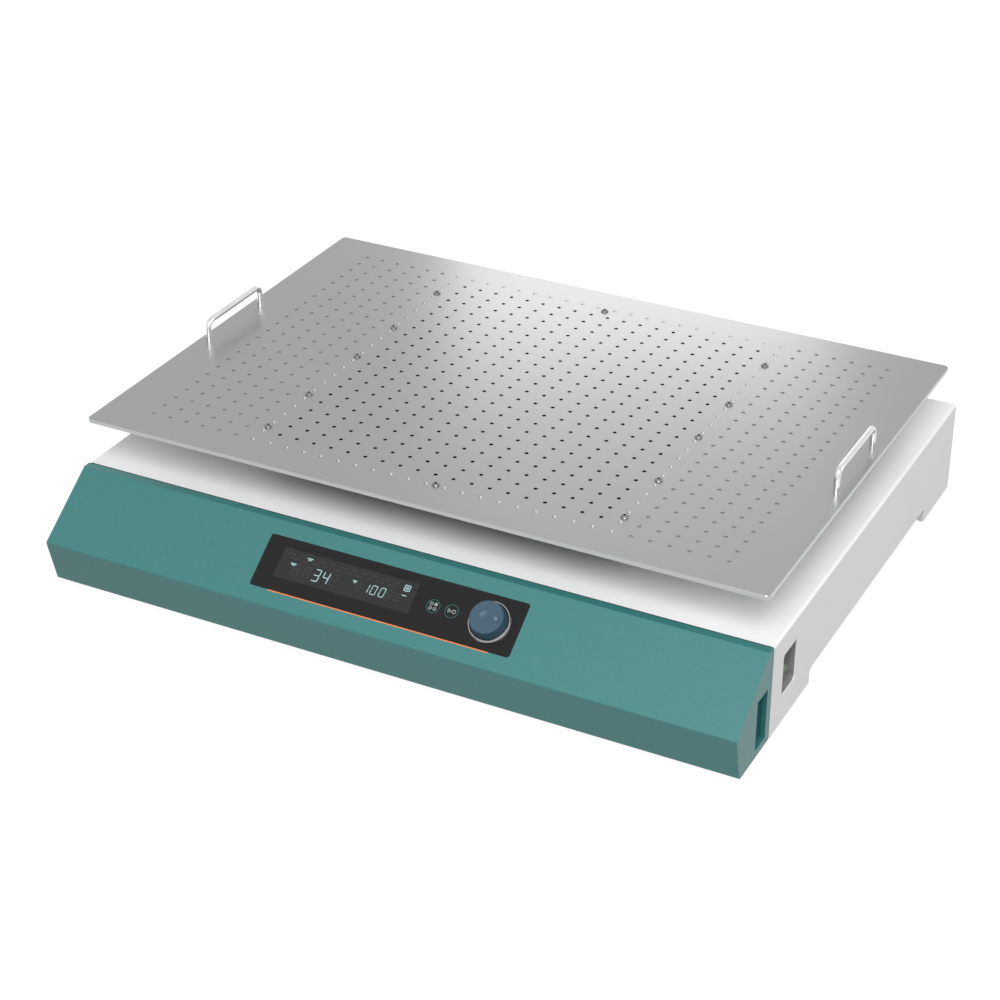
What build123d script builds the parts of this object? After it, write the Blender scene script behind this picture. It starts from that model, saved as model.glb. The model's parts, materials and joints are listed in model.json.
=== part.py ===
from build123d import *
import math
import os

# Orbital shaker with a perforated platform, in millimetres.
# X runs right, Y runs back, Z runs up. The origin lies on the surface that the feet stand on,
# under the middle of the base's width and depth.

# Base body
base_width = 764.0
foot_height = 11.0            # floor to the lower edge of the body
body_height = 103.2           # lower edge of the body to the cover's top face
cover_depth = 539.5           # front edge of the cover to its back face
cover_wall = 1.5
cover_bend = 3.0
cover_lip = 6.0               # return flange along the cover's lower edge
cover_slack = 0.4             # room between the cover and the chassis inside it
grip_front = 105.0            # cover's front edge to the start of the grip cut-out
grip_length = 346.0
grip_height = 16.0
grip_lip = 14.0
grip_corner = 5.0

# Fascia in front of the cover
seam_gap = 2.0
fascia_top_depth = 8.7
fascia_run = 74.0             # depth that the slanted face covers
fascia_drop = 53.1            # height that the slanted face covers
fascia_undercut = 12.6
fascia_wall = 3.0
fascia_lift = 0.5             # fascia's lower edge above the body's lower edge
nose_radius = 2.5
top_edge_radius = 1.0
rib_thickness = 2.0
rib_depth = 8.0
rib_end = 37.0                # fascia's end to its first rib
rib_pitch = 60.0
rib_count = 4
boss_radius = 5.0
boss_outer = 30.0             # fascia's end to its outer bosses
boss_inner = 56.0             # panel's end to the inner bosses
boss_low = 13.0               # lower bosses above the body's lower edge
boss_high = 12.0              # upper bosses below the cover's top face
end_pocket_width = 24.6
end_pocket_height = 54.6
end_pocket_depth = 20.0
end_pocket_wall = 2.0
end_pocket_lip = 5.0          # depth of the pocket's narrower mouth
end_pocket_step = 1.5
end_pocket_back = 9.3         # fascia's back edge to the pocket's back wall
end_pocket_rise = 8.9         # body's lower edge to the pocket's lower wall

# Chassis
sheet = 2.0
tray_lip = 8.0
sheet_corner = 2.0            # chassis corners cut off inside the cover's bends
bulkhead_sheet = 1.5
bulkhead_flange = 12.0
front_rail_depth = 104.0
rear_rail_depth = 87.0
seal_inset = 0.5
seal_width = 3.8
foot_top_radius = 15.0
foot_base_radius = 13.0
foot_inset = 21.5             # foot's axis to the cover's side
front_foot_place = 63.6       # cover's front edge to the front feet's axis
rear_foot_place = 49.0        # cover's back face to the rear feet's axis

# Control panel, placed on the slanted face
panel_width = 288.6
panel_depth = 57.7
panel_corner = 3.0
panel_recess = 1.5
panel_proud = 0.3
panel_clearance = 0.2
panel_line = 44.9             # top edge of the slanted face to the panel's centre line
window_width = 151.6
window_depth = 33.0
window_x = -47.2
window_line = 42.8
control_line = 44.6
key_x = (51.0, 71.1)
key_radius = 6.2
key_gap = 0.3
key_ring_wall = 0.6
key_ring_height = 0.5
key_proud = 0.7
key_flange = 1.3
key_flange_height = 1.2
key_travel = 1.2
knob_x = 112.0
knob_foot_radius = 18.8
knob_top_radius = 17.3
knob_bevel = 0.8
knob_height = 12.4
knob_lift = 0.8
knob_wall = 1.6
centre_dimple_radius = 6.5
centre_dimple_depth = 0.9
finger_dimple_radius = 4.0
finger_dimple_place = 11.7
finger_dimple_depth = 1.4
ring_outer_radius = 21.9
ring_inner_radius = 19.4
ring_height = 2.8
accent_length = 245.0
accent_width = 1.3
accent_depth = 1.2
board_width = 276.0
board_depth = 50.0
board_thickness = 1.6
board_gap = 9.0               # fascia's inner face to the board
encoder_body = 13.0
encoder_height = 5.5
encoder_bush_radius = 4.5
encoder_shaft_radius = 3.0
encoder_shaft_top = 9.0

# Power switch in the cover's right side
window_side_width = 34.8
window_side_height = 46.4
window_side_corner = 4.0
window_side_front = 27.2      # cover's front edge to the window
window_side_rise = 30.9       # body's lower edge to the window
switch_pocket_depth = 12.5
switch_pocket_mouth = 5.0     # depth of the pocket's wider mouth
switch_pocket_step = 1.5
switch_pocket_wall = 1.5
switch_pocket_rim = 3.0
switch_width = 24.0
switch_height = 30.0
switch_bezel = 1.5
switch_bezel_wall = 2.6
switch_depth = 22.0
rocker_radius = 9.5
rocker_gap = 0.6
rocker_rise = 4.9             # pivot to the rocker's crests
rocker_valley = 0.9
rocker_angle = 15.0

# Mains inlet and vents in the cover's back
inlet_side = 132.0            # cover's right side to the inlet's middle
inlet_z = 58.0
inlet_width = 28.0
inlet_height = 20.0
inlet_flange_width = 50.0
inlet_flange_height = 24.0
inlet_depth = 24.0
inlet_screw_pitch = 40.0
vent_count = 12
vent_pitch = 9.0
vent_width = 3.2
vent_height = 42.0
vent_z = 66.0
vent_places = (-230.0, 80.0)

# Platform
platform_setback = 285.9      # platform's centre to the cover's back face
platform_gap = 51.1           # cover's top face to the platform's underside
platform_width = 752.0
platform_depth = 520.0
platform_thickness = 5.0
platform_corner = 5.0
platform_edge = 0.5
hole_pitch = 20.0
hole_columns = 33
hole_rows = 23
hole_radius = 2.1

# Handles on the platform
handle_x = 362.8
handle_span = 104.0
handle_rise = 23.3            # platform's top face to the grip bar's axis
handle_bend = 9.0
handle_radius = 3.25
handle_screw_radius = 2.0
handle_screw_grip = 12.0

# Carriage under the platform
frame_width = 426.0
frame_depth = 466.0
frame_overhang = 18.0         # flange beyond the upright wall
frame_flange = 6.0
frame_wall = 10.0
frame_height = 18.0
frame_corner = 12.0
web_thickness = 8.0
hub_rise = 22.5               # web's underside to the hubs' top
hub_wall = 7.5
hub_rib = 6.0
hub_rib_height = 11.0
column_x = 200.0
column_places = (170.0, 70.0, -10.0, -110.0, -190.0)
row_places = ((-10.0, 214.0), (10.0, -218.0))
platform_screw_radius = 2.5
platform_screw_length = 12.0

# Orbital mechanism
orbit_radius = 12.5
idler_x = 140.0
idler_y = 150.0
idler_journal = 7.5
idler_bearing_outer = 17.5
idler_bearing_width = 11.0
drive_journal = 12.5
drive_bearing_outer = 26.0
drive_bearing_width = 15.0
bearing_land = 2.0            # shoulder that an outer ring seats on
running_fit = 0.02
bearing_inset = 3.0           # housing or hub face to the bearing
plate_width = 350.0
plate_depth = 370.0
plate_thickness = 10.0
plate_corner = 15.0
housing_height = 46.0
housing_wall = 8.0
flange_reach = 12.0
flange_thickness = 8.0
idler_disc_radius = 27.0
drive_disc_radius = 40.0
disc_low = 2.2                # cover's top face to the discs' underside
disc_thickness = 14.0
pin_shoulder = 3.0
pin_rise = 2.0                # bearing's top to the end of a crank pin
axial_play = 0.1
collar_gap = 4.0
collar_wall = 4.0
collar_height = 5.8
counterweight_radius = 140.0
counterweight_start = 8.0
counterweight_thickness = 9.0
counterweight_bolt_x = 22.0
counterweight_bolt_y = 22.0

# Belt drive
motor_x = -246.0
motor_radius = 44.0
motor_height = 50.0
motor_boss_radius = 16.0
motor_boss_height = 4.0
motor_shaft_radius = 6.0
motor_mount_width = 120.0
motor_mount_thickness = 6.0
drive_pulley_radius = 90.0
motor_pulley_radius = 25.0
pulley_height = 18.0
pulley_top_gap = 3.0          # pulley's top to the crank disc
pulley_rim = 9.0
pulley_web = 7.0
groove_count = 4
groove_pitch = 3.56
groove_depth = 2.6
groove_half_width = 1.25
belt_gap = 0.3
belt_back = 2.0

# Power supply and motor controller on the tray
supply_width = 98.0
supply_depth = 160.0
supply_height = 42.0
supply_wall = 1.2
supply_vent_count = 9
supply_vent_pitch = 15.0
supply_vent_width = 4.0
supply_vent_margin = 14.0     # supply's side to the vents' ends
supply_side = 118.0           # cover's right side to the supply's middle
supply_back = 142.0           # cover's back face to the supply's middle
controller_width = 120.0
controller_depth = 110.0
controller_side = 120.0       # cover's left side to the controller's middle
controller_back = 122.0       # cover's back face to the controller's middle
controller_post = 8.0
fin_count = 9
fin_height = 22.0
fin_thickness = 2.0

# Screws
m4_radius = 2.0
m5_radius = 2.5
m6_radius = 3.0

# Places that follow from the sizes above
half_width = base_width / 2
base_depth = cover_depth + seam_gap + fascia_top_depth + fascia_run
back_y = base_depth / 2
nose_y = -base_depth / 2
cover_front = back_y - cover_depth
fascia_rear = cover_front - seam_gap
fascia_top_front = fascia_rear - fascia_top_depth
body_bottom = foot_height
body_top = foot_height + body_height
nose_z = body_top - fascia_drop
tray_bottom = body_bottom + grip_height + cover_wall
tray_top = tray_bottom + sheet
chassis_half_width = half_width - cover_wall - cover_slack
chassis_back = back_y - cover_wall - cover_slack
grip_start = cover_front + grip_front
grip_end = grip_start + grip_length
platform_y = back_y - platform_setback
platform_bottom = body_top + platform_gap
platform_top = platform_bottom + platform_thickness
frame_bottom = platform_bottom - frame_height
web_bottom = frame_bottom - web_thickness
crank_y = platform_y + orbit_radius
plate_top = tray_top + plate_thickness
housing_top = plate_top + housing_height
disc_bottom = body_top - disc_low
disc_top = disc_bottom + disc_thickness
pulley_top = disc_bottom - pulley_top_gap
pulley_bottom = pulley_top - pulley_height
idlers = {
    "front_left": (-idler_x, -idler_y),
    "front_right": (idler_x, -idler_y),
    "rear_left": (-idler_x, idler_y),
    "rear_right": (idler_x, idler_y),
}
side_window_y = cover_front + window_side_front + window_side_width / 2
side_window_z = body_bottom + window_side_rise + window_side_height / 2
slope = Plane(
    origin=(0, fascia_top_front, body_top),
    x_dir=(1, 0, 0),
    z_dir=(0, -fascia_drop, fascia_run),
)
board_face = -(fascia_wall + board_gap)
inlet_x = half_width - inlet_side
wall_width = frame_width - 2 * frame_overhang
wall_depth = frame_depth - 2 * frame_overhang


def block(x0, x1, y0, y1, z0, z1):
    """A box from one corner to the other."""
    centre = Pos((x0 + x1) / 2, (y0 + y1) / 2, (z0 + z1) / 2)
    return centre * Box(x1 - x0, y1 - y0, z1 - z0)


def disc(radius, low, high, x=0.0, y=0.0):
    """A round solid that stands between two heights."""
    return Pos(x, y, (low + high) / 2) * Cylinder(radius, high - low)


def tube(outer, inner, low, high, x=0.0, y=0.0):
    """A round wall that stands between two heights."""
    return disc(outer, low, high, x, y) - disc(inner, low - 1, high + 1, x, y)


def turned(points):
    """A solid turned about Z from its half section of radii and heights."""
    section = make_face(Plane.XZ * Polyline(*points, close=True))
    return revolve(section, Axis.Z)


def rounded_block(width, depth, height, corner):
    """A plate with round corners, standing on the origin."""
    return extrude(RectangleRounded(width, depth, corner), height)


def on_slope(x, line, height=0.0):
    """A place on the slanted face: across, down from its top edge, and out of it."""
    return slope * Pos(x, -line, height)


def cap_screw(radius, length):
    """A socket screw whose head stands on the origin and whose shank points down."""
    head = disc(1.7 * radius, 0, 2 * radius)
    head = chamfer(head.edges().sort_by(Axis.Z)[-1], 0.15 * radius)
    socket = Pos(0, 0, radius) * extrude(RegularPolygon(0.9 * radius, 6), 2 * radius)
    return head + disc(radius, -length, 0) - socket


def dome_screw(radius, length):
    """A dome-head socket screw whose head stands on the origin."""
    head_radius = 1.68 * radius
    head_height = 1.1 * radius
    rim = 0.25 * head_height
    rise = head_height - rim
    ball = (head_radius**2 + rise**2) / (2 * rise)
    dome = disc(head_radius, 0, head_height) & Pos(0, 0, head_height - ball) * Sphere(ball)
    socket = Pos(0, 0, 0.45 * head_height) * extrude(RegularPolygon(0.66 * radius, 6), head_height)
    return dome + disc(radius, -length, 0) - socket


def copies(shape, places):
    """The same solid at several places, as separate solids."""
    return Compound([Solid((place * shape).solid().wrapped) for place in places])


def ball_bearing(outer, inner, width, low):
    """A shielded ball bearing as one ring, with the shields set back between the races."""
    race = 0.22 * (outer - inner)
    shield = 0.4
    bevel = 0.6
    high = low + width
    points = [
        (inner, low + bevel), (inner + bevel, low), (inner + race, low),
        (inner + race, low + shield), (outer - race, low + shield), (outer - race, low),
        (outer - bevel, low), (outer, low + bevel), (outer, high - bevel), (outer - bevel, high),
        (outer - race, high), (outer - race, high - shield), (inner + race, high - shield),
        (inner + race, high), (inner + bevel, high), (inner, high - bevel),
    ]
    return turned(points)


def body_block(inset, front, bottom):
    """The cover's outline drawn in by inset, with its bends."""
    solid = block(
        inset - half_width, half_width - inset, front, back_y - inset, bottom, body_top - inset
    )
    uprights = solid.edges().filter_by(Axis.Z).group_by(Axis.Y)[-1]
    rim = solid.faces().sort_by(Axis.Z)[-1].edges().sort_by(Axis.Y)[1:]
    return fillet(uprights + rim, cover_bend - inset)


def cover_openings():
    """Round openings that the crank discs turn in, as radius and place."""
    places = [(drive_disc_radius, 0.0, crank_y)]
    places += [(idler_disc_radius, x, crank_y + y) for x, y in idlers.values()]
    return places


def cover_screw_places():
    """Screws through the grip lips into the tray, three on each side."""
    x = half_width - grip_lip / 2 - cover_wall
    middle = (grip_start + grip_end) / 2
    reach = grip_length / 2 - 25.0
    return [(side * x, middle + step * reach) for side in (-1, 1) for step in (-1, 0, 1)]


def foot_places():
    """Axes of the four feet."""
    x = half_width - foot_inset
    rows = (cover_front + front_foot_place, back_y - rear_foot_place)
    return [(side * x, y) for y in rows for side in (-1, 1)]


def cover():
    """Folded sheet cover: top, both sides and back, with grip cut-outs and openings."""
    shell = body_block(0, cover_front, body_bottom)
    shell -= body_block(cover_wall, cover_front - 1, body_bottom - 1)
    lip_low = body_bottom
    lip_high = body_bottom + cover_wall
    for side in (-1, 1):
        edge = side * (half_width - cover_wall / 2)
        inner = side * (half_width - cover_lip)
        low, high = sorted((edge, inner))
        shell += block(low, high, cover_front, back_y - cover_bend, lip_low, lip_high)
    shell += block(
        cover_bend - half_width, half_width - cover_bend,
        back_y - cover_lip, back_y - cover_wall / 2, lip_low, lip_high,
    )
    grip = Pos(0, (grip_start + grip_end) / 2, body_bottom) * Rot(0, 90, 0) * extrude(
        RectangleRounded(2 * grip_height, grip_length, grip_corner), base_width + 2, both=True
    )
    shell -= grip
    for side in (-1, 1):
        edge = side * (half_width - cover_wall / 2)
        inner = side * (half_width - grip_lip)
        low, high = sorted((edge, inner))
        shell += block(
            low, high, grip_start + grip_corner, grip_end - grip_corner,
            tray_bottom - cover_wall, tray_bottom,
        )
    for x, y in cover_screw_places():
        shell -= disc(m4_radius + 0.2, tray_bottom - 3, tray_bottom + 1, x, y)
    for radius, x, y in cover_openings():
        shell -= disc(radius + collar_gap, body_top - 5, body_top + 5, x, y)
    side_cut = in_side_window(5) * rounded_block(
        window_side_height, window_side_width, 10, window_side_corner
    )
    inlet_cut = block(
        inlet_x - inlet_width / 2, inlet_x + inlet_width / 2, back_y - 5, back_y + 5,
        inlet_z - inlet_height / 2, inlet_z + inlet_height / 2,
    )
    shell -= [side_cut, inlet_cut]
    for side in (-1, 1):
        place = Pos(inlet_x + side * inlet_screw_pitch / 2, back_y, inlet_z) * Rot(-90, 0, 0)
        shell -= place * inlet_screw_sink()
    slot = Rot(90, 0, 0) * extrude(SlotOverall(vent_height, vent_width, rotation=90), 5, both=True)
    for start in vent_places:
        for step in range(vent_count):
            shell -= Pos(start + step * vent_pitch, back_y, vent_z) * slot
    return shell


def chassis_block(front, back, low, high):
    """A block as wide as the chassis, its back corners cut off."""
    solid = block(-chassis_half_width, chassis_half_width, front, back, low, high)
    return chamfer(solid.edges().filter_by(Axis.Z).group_by(Axis.Y)[-1], sheet_corner)


def floor_tray():
    """Chassis floor with upturned lips at its sides and back."""
    reach = chassis_half_width - sheet
    lip_start = cover_front + bulkhead_flange + 1
    lip_top = tray_bottom + tray_lip
    tray = chassis_block(cover_front, chassis_back, tray_bottom, tray_top)
    lips = chassis_block(lip_start, chassis_back, tray_bottom, lip_top)
    lips -= block(
        -reach, reach, lip_start - 1, chassis_back - sheet, tray_bottom - 1, lip_top + 1
    )
    tray += lips
    for x, y in cover_screw_places():
        tray -= disc(m4_radius, tray_bottom - 1, tray_top + 1, x, y)
    for x, y in plate_screw_places() + motor_mount_screw_places():
        tray -= disc(m6_radius, tray_bottom - 1, tray_top + 1, x, y)
    return tray


def foot_rail(front, depth):
    """Cross channel, open at the top, that lifts the tray and carries two feet."""
    low_z = body_bottom + cover_wall
    rail = chassis_block(front, front + depth, low_z, tray_bottom)
    rail -= block(
        -chassis_half_width - 1, chassis_half_width + 1, front + sheet, front + depth - sheet,
        low_z + sheet, tray_bottom + 1,
    )
    for x, y in foot_places():
        rail -= disc(m5_radius, low_z - 1, low_z + sheet + 1, x, y)
    return rail


def front_foot_rail():
    return foot_rail(cover_front + 1, front_rail_depth)


def rear_foot_rail():
    return foot_rail(chassis_back - rear_rail_depth, rear_rail_depth)


def rubber_feet():
    """Four tapered rubber feet with a recess for the screw head."""
    top = body_bottom + cover_wall
    foot = turned([
        (m5_radius, top), (foot_top_radius, top), (foot_top_radius, top - 3),
        (foot_base_radius + 0.6, 0.8), (foot_base_radius, 0), (6.0, 0), (6.0, 6.0),
        (m5_radius, 6.0),
    ])
    return copies(foot, [Pos(x, y, 0) for x, y in foot_places()])


def foot_screws():
    """Screws up through the feet, and their nuts inside the rails."""
    grip = body_bottom + cover_wall + sheet - 6.0
    screw = Rot(180, 0, 0) * cap_screw(m5_radius, grip + 5.0)
    nut_low = 6.0 + grip
    nut = Pos(0, 0, nut_low) * extrude(RegularPolygon(4.6, 6), 4.0)
    nut -= disc(m5_radius, nut_low - 1, nut_low + 5)
    sets = []
    for x, y in foot_places():
        sets.append(Solid((Pos(x, y, 6.0) * screw).solid().wrapped))
        sets.append(Solid((Pos(x, y, 0) * nut).solid().wrapped))
    return Compound(sets)


def boss_places():
    """Fascia screw bosses as X and Z."""
    heights = (body_bottom + boss_low, body_top - boss_high)
    reaches = (panel_width / 2 + boss_inner, half_width - boss_outer)
    return [(side * x, z) for side in (-1, 1) for x in reaches for z in heights]


def front_bulkhead():
    """Sheet wall behind the fascia, with flanges turned back all round."""
    low_z = tray_top
    high_z = body_top - cover_wall - cover_slack
    front = cover_front
    back = cover_front + bulkhead_flange
    wall = block(-chassis_half_width, chassis_half_width, front, back, low_z, high_z)
    wall = chamfer(wall.edges().filter_by(Axis.Y).group_by(Axis.Z)[-1], sheet_corner)
    wall -= block(
        bulkhead_sheet - chassis_half_width, chassis_half_width - bulkhead_sheet,
        front + bulkhead_sheet, back + 1, low_z + bulkhead_sheet, high_z - bulkhead_sheet,
    )
    for x, z in boss_places():
        if z > low_z:
            wall -= Pos(x, front, z) * Rot(90, 0, 0) * Cylinder(m4_radius, 10)
    wall -= Pos(0, front, (low_z + high_z) / 2) * Rot(90, 0, 0) * extrude(
        SlotOverall(40, 16), 5, both=True
    )
    return wall


def fascia_points():
    """Corners of the fascia's side profile as Y and Z, from its lower back corner."""
    low = body_bottom + fascia_lift
    return [
        (fascia_rear, low), (nose_y + fascia_undercut, low), (nose_y, nose_z),
        (fascia_top_front, body_top), (fascia_rear, body_top),
    ]


def fascia_profile(inset=0.0):
    """The side profile as a face, drawn in by inset."""
    radii = [0, nose_radius, nose_radius, top_edge_radius, 0]
    face = make_face(FilletPolyline(*fascia_points(), radius=radii, close=True))
    if inset:
        face = offset(face, amount=-inset, kind=Kind.INTERSECTION)
    return face


def along_x(face, low, high):
    """A side profile carried across from one X to another."""
    return Pos(low, 0, 0) * extrude(Plane.YZ * face, high - low)


def rear_opening(inset):
    """Rectangle that opens a drawn-in profile through the fascia's back."""
    low = body_bottom + fascia_lift + inset
    high = body_top - inset
    return Pos(fascia_rear, (low + high) / 2) * Rectangle(4 * (inset + 1), high - low)


def fascia():
    """Moulded front housing: one wall all round, ribs, screw bosses and an end pocket."""
    shell = along_x(fascia_profile(), -half_width, half_width)
    hollow = fascia_profile(fascia_wall) + rear_opening(fascia_wall)
    end = half_width - fascia_wall
    shell -= along_x(hollow, -end, end)
    rib = hollow - fascia_profile(fascia_wall + rib_depth) - rear_opening(fascia_wall + rib_depth)
    rib &= fascia_profile()
    for step in range(rib_count):
        x = half_width - rib_end - step * rib_pitch
        shell += along_x(rib, x - rib_thickness / 2, x + rib_thickness / 2)
        shell += along_x(rib, -x - rib_thickness / 2, rib_thickness / 2 - x)
    inside = along_x(fascia_profile(fascia_wall / 2), -end, end)
    inside += block(-end, end, fascia_rear - 5, cover_front, body_bottom, body_top)
    for x, z in boss_places():
        boss = Pos(x, (nose_y + cover_front) / 2, z) * Rot(90, 0, 0)
        shell += boss * Cylinder(boss_radius, cover_front - nose_y) & inside
        shell -= Pos(x, cover_front - 6, z) * Rot(90, 0, 0) * Cylinder(m4_radius, 14)
    pocket_back = fascia_rear - end_pocket_back
    pocket_front = pocket_back - end_pocket_width
    pocket_low = body_bottom + end_pocket_rise
    pocket_high = pocket_low + end_pocket_height
    step = end_pocket_step
    wall = end_pocket_step + end_pocket_wall
    shell += block(
        half_width - end_pocket_depth - end_pocket_wall, half_width - 1, pocket_front - wall,
        pocket_back + wall, pocket_low - wall, pocket_high + wall,
    ) & along_x(fascia_profile(fascia_wall / 2), -half_width, half_width)
    shell -= block(
        half_width - end_pocket_depth, half_width + 1, pocket_front, pocket_back,
        pocket_low, pocket_high,
    )
    shell -= block(
        half_width - end_pocket_depth, half_width - end_pocket_lip, pocket_front - step,
        pocket_back + step, pocket_low - step, pocket_high + step,
    )
    recess = on_slope(0, panel_line, -panel_recess) * rounded_block(
        panel_width, panel_depth, 5, panel_corner
    )
    window = on_slope(window_x, window_line, -5) * extrude(
        RectangleRounded(window_width, window_depth, 2), 10
    )
    groove = on_slope(0, panel_line + panel_depth / 2 + accent_width / 2, -accent_depth) * Box(
        accent_length, accent_width, 5, align=(Align.CENTER, Align.CENTER, Align.MIN)
    )
    shell -= [recess, window, groove]
    for x in key_x:
        shell -= on_slope(x, control_line, 0) * Cylinder(key_radius + key_gap, 10)
    shell -= on_slope(knob_x, control_line, 0) * Cylinder(encoder_bush_radius, 10)
    for x, line in board_posts():
        post = on_slope(x, line, -fascia_wall - board_gap / 2) * Cylinder(3.0, board_gap + 0.5)
        post &= on_slope(x, line, board_face) * Pos(0, 0, 15) * Box(20, 20, 30)
        shell += post
    return shell


def board_posts():
    """Posts that carry the circuit board, as X and distance down the slope."""
    x = board_width / 2 - 5
    reach = board_depth / 2 - 5
    return [(side * x, panel_line + step * reach) for side in (-1, 1) for step in (-1, 1)]


def front_seal():
    """Dark strip in the seam between fascia and cover, over the top and down both sides."""
    width = base_width - 2 * seal_inset
    strip = block(
        -width / 2, width / 2, fascia_rear, cover_front,
        body_bottom + 1, body_top - seal_inset,
    )
    top_edges = strip.edges().filter_by(Axis.Y).group_by(Axis.Z)[-1]
    strip = fillet(top_edges, cover_bend - seal_inset)
    strip -= block(
        seal_width - width / 2, width / 2 - seal_width, fascia_rear - 1, cover_front + 1,
        body_bottom, body_top - seal_inset - seal_width,
    )
    return strip


def cover_screws():
    """Screws up through the grip lips into the tray."""
    screw = Rot(180, 0, 0) * dome_screw(m4_radius, 6.0)
    z = tray_bottom - cover_wall
    return copies(screw, [Pos(x, y, z) for x, y in cover_screw_places()])


def fascia_screws():
    """Screws forward through the bulkhead into the fascia's upper bosses."""
    screw = Rot(-90, 0, 0) * cap_screw(m4_radius, 10.0)
    y = cover_front + bulkhead_sheet
    return copies(screw, [Pos(x, y, z) for x, z in boss_places() if z > tray_top])


def control_lens():
    """Black gloss cover plate set in the slanted face."""
    thickness = panel_recess + panel_proud
    plate = rounded_block(
        panel_width - 2 * panel_clearance, panel_depth - 2 * panel_clearance,
        thickness, panel_corner - panel_clearance,
    )
    rim = plate.faces().sort_by(Axis.Z)[-1].edges()
    plate = on_slope(0, panel_line, -panel_recess) * chamfer(rim, 0.2)
    for x in key_x:
        plate -= on_slope(x, control_line) * Cylinder(key_radius + key_gap + key_ring_wall, 10)
    plate -= on_slope(knob_x, control_line) * Cylinder(encoder_bush_radius, 10)
    return plate


def accent_strip():
    """Thin coloured strip along the panel's lower edge."""
    return on_slope(0, panel_line + panel_depth / 2 + accent_width / 2, -accent_depth) * Box(
        accent_length, accent_width, accent_depth + panel_proud,
        align=(Align.CENTER, Align.CENTER, Align.MIN),
    )


def control_board():
    """Circuit board on posts behind the slanted face."""
    board = on_slope(0, panel_line, board_face - board_thickness) * rounded_block(
        board_width, board_depth, board_thickness, 2
    )
    for x, line in board_posts():
        board -= on_slope(x, line, board_face) * Cylinder(1.2, 10)
    return board


def display_module():
    """Display behind the lens window, standing on the board."""
    return on_slope(window_x, window_line, board_face) * rounded_block(
        window_width - 4, window_depth - 4, board_gap + fascia_wall - panel_recess, 1.5
    )


def key_mat():
    """Silicone domes under the two keys, each with a skirt that stands on the board."""
    height = board_gap - key_flange_height - key_travel - 0.3
    dome = turned([(3.0, 0), (6.5, 0), (6.5, 0.8), (3.8, height), (0, height), (0, height - 1.2),
                   (2.4, height - 1.2)])
    return copies(dome, [on_slope(x, control_line, board_face) for x in key_x])


def key_cap(x):
    """Round key with a flange that rests against the inside of the fascia."""
    top = panel_proud + key_proud
    low = -fascia_wall - key_flange_height
    cap = turned([
        (0, low), (key_radius + key_flange, low), (key_radius + key_flange, -fascia_wall),
        (key_radius, -fascia_wall), (key_radius, top - 0.4), (key_radius - 0.4, top), (0, top),
    ])
    return on_slope(x, control_line) * cap


def key_rings():
    """Thin metal rings round the two keys."""
    inner = key_radius + key_gap
    ring = tube(inner + key_ring_wall, inner, -panel_recess, panel_proud + key_ring_height)
    return copies(ring, [on_slope(x, control_line) for x in key_x])


def encoder():
    """Rotary encoder on the board, its bush reaching up through the fascia and lens."""
    body = Box(encoder_body, encoder_body, encoder_height, align=(Align.CENTER, Align.CENTER, Align.MIN))
    bush = disc(encoder_bush_radius, encoder_height, -board_face + panel_proud + 1.0)
    bore = disc(encoder_shaft_radius + 0.05, encoder_height - 2, -board_face + 10)
    return on_slope(knob_x, control_line, board_face) * (body + bush - bore)


def encoder_shaft():
    """Shaft that turns in the encoder's bush and carries the knob."""
    low = board_face + encoder_height - 1.8
    shaft = disc(encoder_shaft_radius, low, encoder_shaft_top)
    flat = block(
        encoder_shaft_radius - 0.8, encoder_shaft_radius + 1, -5, 5, 3.0, encoder_shaft_top + 1
    )
    return on_slope(knob_x, control_line) * (shaft - flat)


def jog_knob():
    """Hollow knob with a flared skirt, a dished top and a finger dimple."""
    top = knob_lift + knob_height
    skirt_wall = knob_wall
    crown = 2.4
    outer = [
        (0, knob_lift), (knob_foot_radius, knob_lift), (knob_foot_radius, knob_lift + 1.0),
        (knob_top_radius, top - knob_bevel), (knob_top_radius - knob_bevel, top), (0, top),
    ]
    knob = turned(outer)
    inner = [
        (0, knob_lift - 1), (knob_foot_radius - skirt_wall, knob_lift - 1),
        (knob_foot_radius - skirt_wall, knob_lift + 1.0),
        (knob_top_radius - skirt_wall, top - crown - 1.0), (0, top - crown - 1.0),
    ]
    knob -= turned(inner)
    hub = disc(encoder_shaft_radius + 2.2, knob_lift + 2.2, top - crown)
    knob += hub
    bore = disc(encoder_shaft_radius, knob_lift, encoder_shaft_top)
    key_flat = block(
        encoder_shaft_radius - 0.8, encoder_shaft_radius + 1, -5, 5, 3.0, encoder_shaft_top + 1
    )
    knob -= bore - key_flat
    dimples = (
        (0.0, centre_dimple_radius, centre_dimple_depth),
        (finger_dimple_place, finger_dimple_radius, finger_dimple_depth),
    )
    for place, radius, depth in dimples:
        ball = (radius**2 + depth**2) / (2 * depth)
        knob -= Pos(place, 0, top + ball - depth) * Sphere(ball)
    return on_slope(knob_x, control_line) * knob


def knob_ring():
    """Bevelled metal ring on the lens, round the foot of the knob."""
    low = panel_proud
    high = panel_proud + ring_height
    ring = turned([
        (ring_inner_radius, low), (ring_outer_radius, low), (ring_outer_radius, high - 1.4),
        (ring_outer_radius - 1.0, high), (ring_inner_radius + 0.5, high),
        (ring_inner_radius, high - 0.5),
    ])
    return on_slope(knob_x, control_line) * ring


def in_side_window(depth):
    """A place on the axis of the side window, so far in from the cover's side."""
    return Pos(half_width - depth, side_window_y, side_window_z) * Rot(0, 90, 0)


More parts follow.
